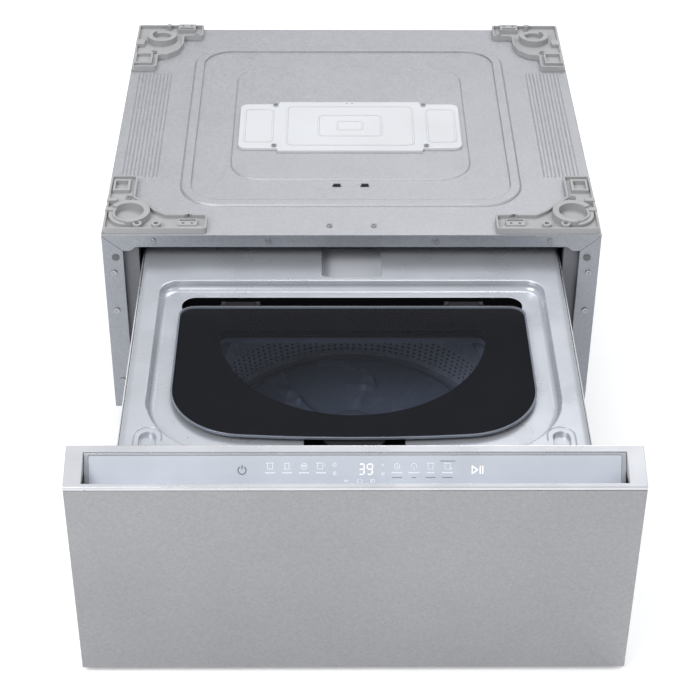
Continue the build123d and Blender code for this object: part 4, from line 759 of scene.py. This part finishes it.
class Print:
    """Flat marks on the control panel, gathered into one mesh. Sizes are in millimetres."""

    def __init__(self):
        self.points = []
        self.faces = []

    def polygon(self, outline):
        """A raised flat mark with an outline given across and up the panel."""
        first = len(self.points)
        count = len(outline)
        for lift in (MARK_LOW, MARK_HIGH):
            for x, up in outline:
                across = Vector((x * MM, 0, 0))
                self.points.append(PANEL_MIDDLE + across + PANEL_UP * up * MM + PANEL_OUT * lift)
        self.faces.append(tuple(range(first + count, first + 2 * count)))
        for a in range(count):
            b = (a + 1) % count
            self.faces.append((first + a, first + b, first + count + b, first + count + a))

    def bar(self, x, up, width, height, lean=0.0):
        """A rectangle about a point, its top leaning to the right."""
        half, rise = width / 2, height / 2
        self.polygon(
            [
                (x - half - lean, up - rise),
                (x + half - lean, up - rise),
                (x + half + lean, up + rise),
                (x - half + lean, up + rise),
            ]
        )

    def ring(self, x, up, radius, width, start=0.0, end=1.0):
        """A ring, or a part of one, from start to end in turns from the right anticlockwise."""
        steps = max(6, round(28 * (end - start)))
        inner = radius - width
        for step in range(steps):
            first, last = [tau * (start + (end - start) * (step + k) / steps) for k in (0, 1)]
            corners = [(radius, first), (radius, last), (inner, last), (inner, first)]
            self.polygon([(x + r * cos(angle), up + r * sin(angle)) for r, angle in corners])

    def disc(self, x, up, radius):
        """A filled circle."""
        angles = [tau * k / 20 for k in range(20)]
        self.polygon([(x + radius * cos(angle), up + radius * sin(angle)) for angle in angles])

    def frame(self, x, up, width, height, line):
        """A rectangle's outline."""
        self.bar(x, up + (height - line) / 2, width, line)
        self.bar(x, up - (height - line) / 2, width, line)
        self.bar(x - (width - line) / 2, up, line, height - 2 * line)
        self.bar(x + (width - line) / 2, up, line, height - 2 * line)

    def done(self, name, finish):
        """Turns the marks into a piece on the drawer."""
        mesh_piece(name, self.points, self.faces, "drawer", finish, "panel_glass")


# Where a digit's seven bars lie: to its left or right, how far up, and whether a bar is level
DIGIT_BARS = {
    "top": (0, 1, True),
    "middle": (0, 0, True),
    "bottom": (0, -1, True),
    "upper_left": (-1, 0.5, False),
    "upper_right": (1, 0.5, False),
    "lower_left": (-1, -0.5, False),
    "lower_right": (1, -0.5, False),
}
DIGIT_HALF_WIDTH, DIGIT_HALF_HEIGHT = 3.0, 6.2
DIGIT_LEAN = 0.25

# Places on the panel are across it from its middle, and up it
POWER_X = -134.4
PROGRAMME_X, PROGRAMME_PITCH = -101.2, 20.15
OPTION_X, OPTION_PITCH = 49.4, 19.97
SIGN_LEFT_X, SIGN_RIGHT_X = -24.6, 32.7
LABEL_UP, SMALL_LABEL_UP = -3.4, -9.2
UNDER_DIGITS_UP = -13.2


def digit(marks, x, up, lit):
    """One digit of seven bars, of which some are lit."""
    for name in lit:
        side, level, flat = DIGIT_BARS[name]
        lean, rise = DIGIT_LEAN * level, DIGIT_HALF_HEIGHT * level
        if flat:
            marks.bar(x + lean, up + rise, 4.4, 1.3, 0.1)
        else:
            marks.bar(x + DIGIT_HALF_WIDTH * side + lean, up + rise, 1.3, 4.8, 0.12)


def garment(marks, x, up):
    """A shirt in outline."""
    left_sleeve = [(-4.6, 3.4), (-1.6, 4.6), (-1.6, 3.6), (-4.2, 2.4)]
    right_sleeve = [(1.6, 4.6), (4.6, 3.4), (4.2, 2.4), (1.6, 3.6)]
    for sleeve in (left_sleeve, right_sleeve):
        marks.polygon([(x + a, up + b) for a, b in sleeve])
    marks.ring(x, up + 4.6, 1.7, 0.7, 0.5, 1.0)
    for side in (-3.0, 3.0):
        marks.bar(x + side, up - 0.4, 0.7, 5.6)
    marks.bar(x, up - 3.4, 6.7, 0.7)


def end_keys(grey, white):
    """The power key at one end, and the start and pause key at the other."""
    grey.ring(POWER_X, -0.4, 5.4, 1.2, 0.33, 1.17)
    grey.bar(POWER_X, 3.4, 1.3, 5.2)
    white.polygon([(139.0, -5.2), (139.0, -3.6), (144.6, 0.6), (146.2, 0.0)])
    white.polygon([(139.0, 5.2), (146.2, 0.0), (144.6, -0.6), (139.0, 3.6)])
    white.bar(138.6, 0.0, 1.0, 10.4)
    for x in (148.2, 151.2):
        white.bar(x, 0.0, 1.2, 10.0)


def programme_keys(faint):
    """Four programme keys, each with a bar for its label."""
    for index in range(4):
        faint.bar(PROGRAMME_X + PROGRAMME_PITCH * index, LABEL_UP, 12.0, 1.3)
    garment(faint, PROGRAMME_X, 4.6)
    faint.frame(-81.1, 4.6, 5.8, 7.6, 0.8)
    faint.bar(-81.1, 1.0, 8.6, 0.8)
    faint.ring(-60.9, 4.4, 4.0, 0.8)
    faint.bar(-60.9, 4.4, 5.0, 1.4)
    faint.ring(-60.9, 4.4, 2.1, 0.8, 0.0, 0.5)
    garment(faint, -41.8, 4.6)
    faint.ring(-37.6, 6.4, 1.8, 0.6)


def time_left(faint, white):
    """The two digits of the time left, with small signs on both sides and below."""
    faint.ring(SIGN_LEFT_X, 6.2, 2.4, 0.7)
    faint.bar(SIGN_LEFT_X, 6.2, 1.8, 0.6)
    faint.frame(SIGN_LEFT_X, -4.8, 3.8, 3.0, 0.7)
    faint.ring(SIGN_LEFT_X, -3.2, 1.6, 0.6, 0.0, 0.5)
    faint.ring(SIGN_RIGHT_X, 5.4, 2.0, 0.6, 0.05, 0.45)
    faint.disc(SIGN_RIGHT_X, 5.0, 0.7)
    faint.frame(SIGN_RIGHT_X, -4.9, 3.6, 3.4, 0.6)
    faint.bar(SIGN_RIGHT_X, -4.9, 1.8, 0.6)
    digit(white, 7.4, 0.8, ["top", "middle", "bottom", "upper_right", "lower_right"])
    digit(white, 17.2, 0.8, ["top", "middle", "bottom", "upper_left", "upper_right", "lower_right"])
    faint.ring(-11.1, -12.0, 2.6, 0.7, 0.5, 1.0)
    faint.disc(-11.1, -12.4, 0.8)
    faint.ring(4.3, UNDER_DIGITS_UP, 2.4, 0.7, 0.25, 0.75)
    faint.ring(6.0, UNDER_DIGITS_UP, 2.4, 0.7, 0.75, 1.25)
    faint.bar(18.4, UNDER_DIGITS_UP, 1.0, 4.4, 0.5)
    faint.ring(21.4, UNDER_DIGITS_UP, 2.0, 0.7)


def option_keys(faint, grey):
    """Four option keys, each with a label bar and a smaller grey one, some of them shorter."""
    for index in range(4):
        x = OPTION_X + OPTION_PITCH * index
        faint.bar(x, LABEL_UP, 13.0 - 3.6 * (index == 2), 1.3)
        grey.bar(x, SMALL_LABEL_UP, 12.0 - 6.8 * (index == 1), 0.7)
    faint.ring(OPTION_X, 4.2, 3.8, 0.8)
    faint.bar(OPTION_X, 5.2, 0.8, 2.4)
    faint.bar(51.0, 3.6, 3.8, 0.8, 0.6)
    faint.ring(69.5, 4.8, 3.4, 0.8, 0.9, 1.6)
    faint.bar(69.5, 1.4, 0.8, 3.0)
    for x in (89.2, 109.3):
        garment(faint, x, 4.2)
    faint.disc(113.4, 1.4, 1.2)
    grey.bar(109.9, 10.6, 18.0, 0.8)


def panel_print():
    """The icons, label bars and lit digits of the control panel."""
    grey, white, faint = Print(), Print(), Print()
    end_keys(grey, white)
    programme_keys(faint)
    time_left(faint, white)
    option_keys(faint, grey)
    white.done("panel_digits", PRINT_WHITE)
    faint.done("panel_icons", PRINT_FAINT)
    grey.done("panel_labels", PRINT_GREY)


lid_glass()
basket()
pulsator()
panel_print()


# ---------------------------------------------------------------- camera, floor and light

CAMERA_AT = (-0.0308, -2.2007, 1.7113)
CAMERA_PITCH = 36.415
CAMERA_YAW = 0.800
CAMERA_ROLL = 0.449
CAMERA_LENS = 94.47
CAMERA_SENSOR = 36.0
CAMERA_FAR = 60.0
FLOOR_HALF = 12
FLOOR_DROP = 0.5 * MM
FLOOR_GLOW = 0.22
ROOM_STRENGTH = 0.85


def camera():
    """The camera at the photograph's angle, from its pitch, yaw and roll."""
    pitch, yaw, roll = radians(CAMERA_PITCH), radians(CAMERA_YAW), radians(CAMERA_ROLL)
    level = Vector((cos(yaw), -sin(yaw), 0))
    ahead = Vector((sin(yaw) * cos(pitch), cos(yaw) * cos(pitch), -sin(pitch)))
    raised = Vector((sin(yaw) * sin(pitch), cos(yaw) * sin(pitch), cos(pitch)))
    right = cos(roll) * level + sin(roll) * raised
    up = cos(roll) * raised - sin(roll) * level
    data = bpy.data.cameras.new("camera")
    data.lens = CAMERA_LENS
    data.sensor_width = CAMERA_SENSOR
    data.clip_end = CAMERA_FAR
    made = bpy.data.objects.new("camera", data)
    turn = Matrix((right, up, -ahead)).transposed().to_4x4()
    made.matrix_world = Matrix.Translation(CAMERA_AT) @ turn
    bpy.context.scene.collection.objects.link(made)
    bpy.context.scene.camera = made


def lamp(name, at, towards, size, power):
    """A soft rectangular light."""
    data = bpy.data.lights.new(name, "AREA")
    data.shape = "RECTANGLE"
    data.size, data.size_y = size
    data.energy = power
    made = bpy.data.objects.new(name, data)
    made.location = at
    made.rotation_euler = (Vector(towards) - Vector(at)).to_track_quat("-Z", "Y").to_euler()
    bpy.context.scene.collection.objects.link(made)


def pale_floor():
    """A pale, faintly glowing floor, staged rather than part of the object."""
    half = FLOOR_HALF
    corners = [(-half, -half, 0), (half, -half, 0), (half, half, 0), (-half, half, 0)]
    mesh = bpy.data.meshes.new("floor")
    mesh.from_pydata(corners, [], [(0, 1, 2, 3)])
    made, tree, shader = material("floor")
    value = remap(tree, noise(tree, 1.5, 2.0), 0.0, 1.0)
    link(tree, between(tree, value, (0.90, 0.90, 0.90), (0.92, 0.92, 0.92)), shader, "Base Color")
    shader.inputs["Roughness"].default_value = 0.8
    shader.inputs["Emission Color"].default_value = (1, 1, 1, 1)
    shader.inputs["Emission Strength"].default_value = FLOOR_GLOW
    mesh.materials.append(made)
    floor = bpy.data.objects.new("floor", mesh)
    floor.location.z = -FLOOR_DROP
    bpy.context.scene.collection.objects.link(floor)


def room():
    """A room that lights the object softly from above, and is plain white to the camera."""
    world = bpy.data.worlds.new("room")
    world.use_nodes = True
    tree = world.node_tree
    direction = node(tree, "ShaderNodeTexCoord").outputs["Generated"]
    height = node(tree, "ShaderNodeSeparateXYZ", {0: direction}).outputs["Z"]
    sky = remap(tree, height, 0.0, 1.0, 0.0, 0.9)
    camera_ray = node(tree, "ShaderNodeLightPath").outputs[0]
    seen = node(tree, "ShaderNodeMix", {0: camera_ray}, data_type="RGBA")
    link(tree, between(tree, sky, (0.36, 0.365, 0.38), (0.97, 0.98, 1.0)), seen, "A")
    seen.inputs["B"].default_value = (1.2, 1.2, 1.2, 1)
    background = tree.nodes["Background"]
    link(tree, seen.outputs["Result"], background, "Color")
    background.inputs["Strength"].default_value = ROOM_STRENGTH
    bpy.context.scene.world = world
    bpy.context.scene.view_settings.view_transform = "Standard"


def lamps():
    """Three soft lights: from the front left, the front right, and above the rear."""
    lamp("key", (-1.5, -1.9, 2.6), (0, -0.1, 0.2), (1.4, 1.4), 58)
    lamp("fill", (2.2, -1.6, 2.2), (0, -0.2, 0.2), (1.6, 1.6), 10)
    lamp("overhead", (0.6, 1.3, 3.0), (0, 0.1, 0.3), (2.0, 1.2), 34)


camera()
pale_floor()
room()
lamps()
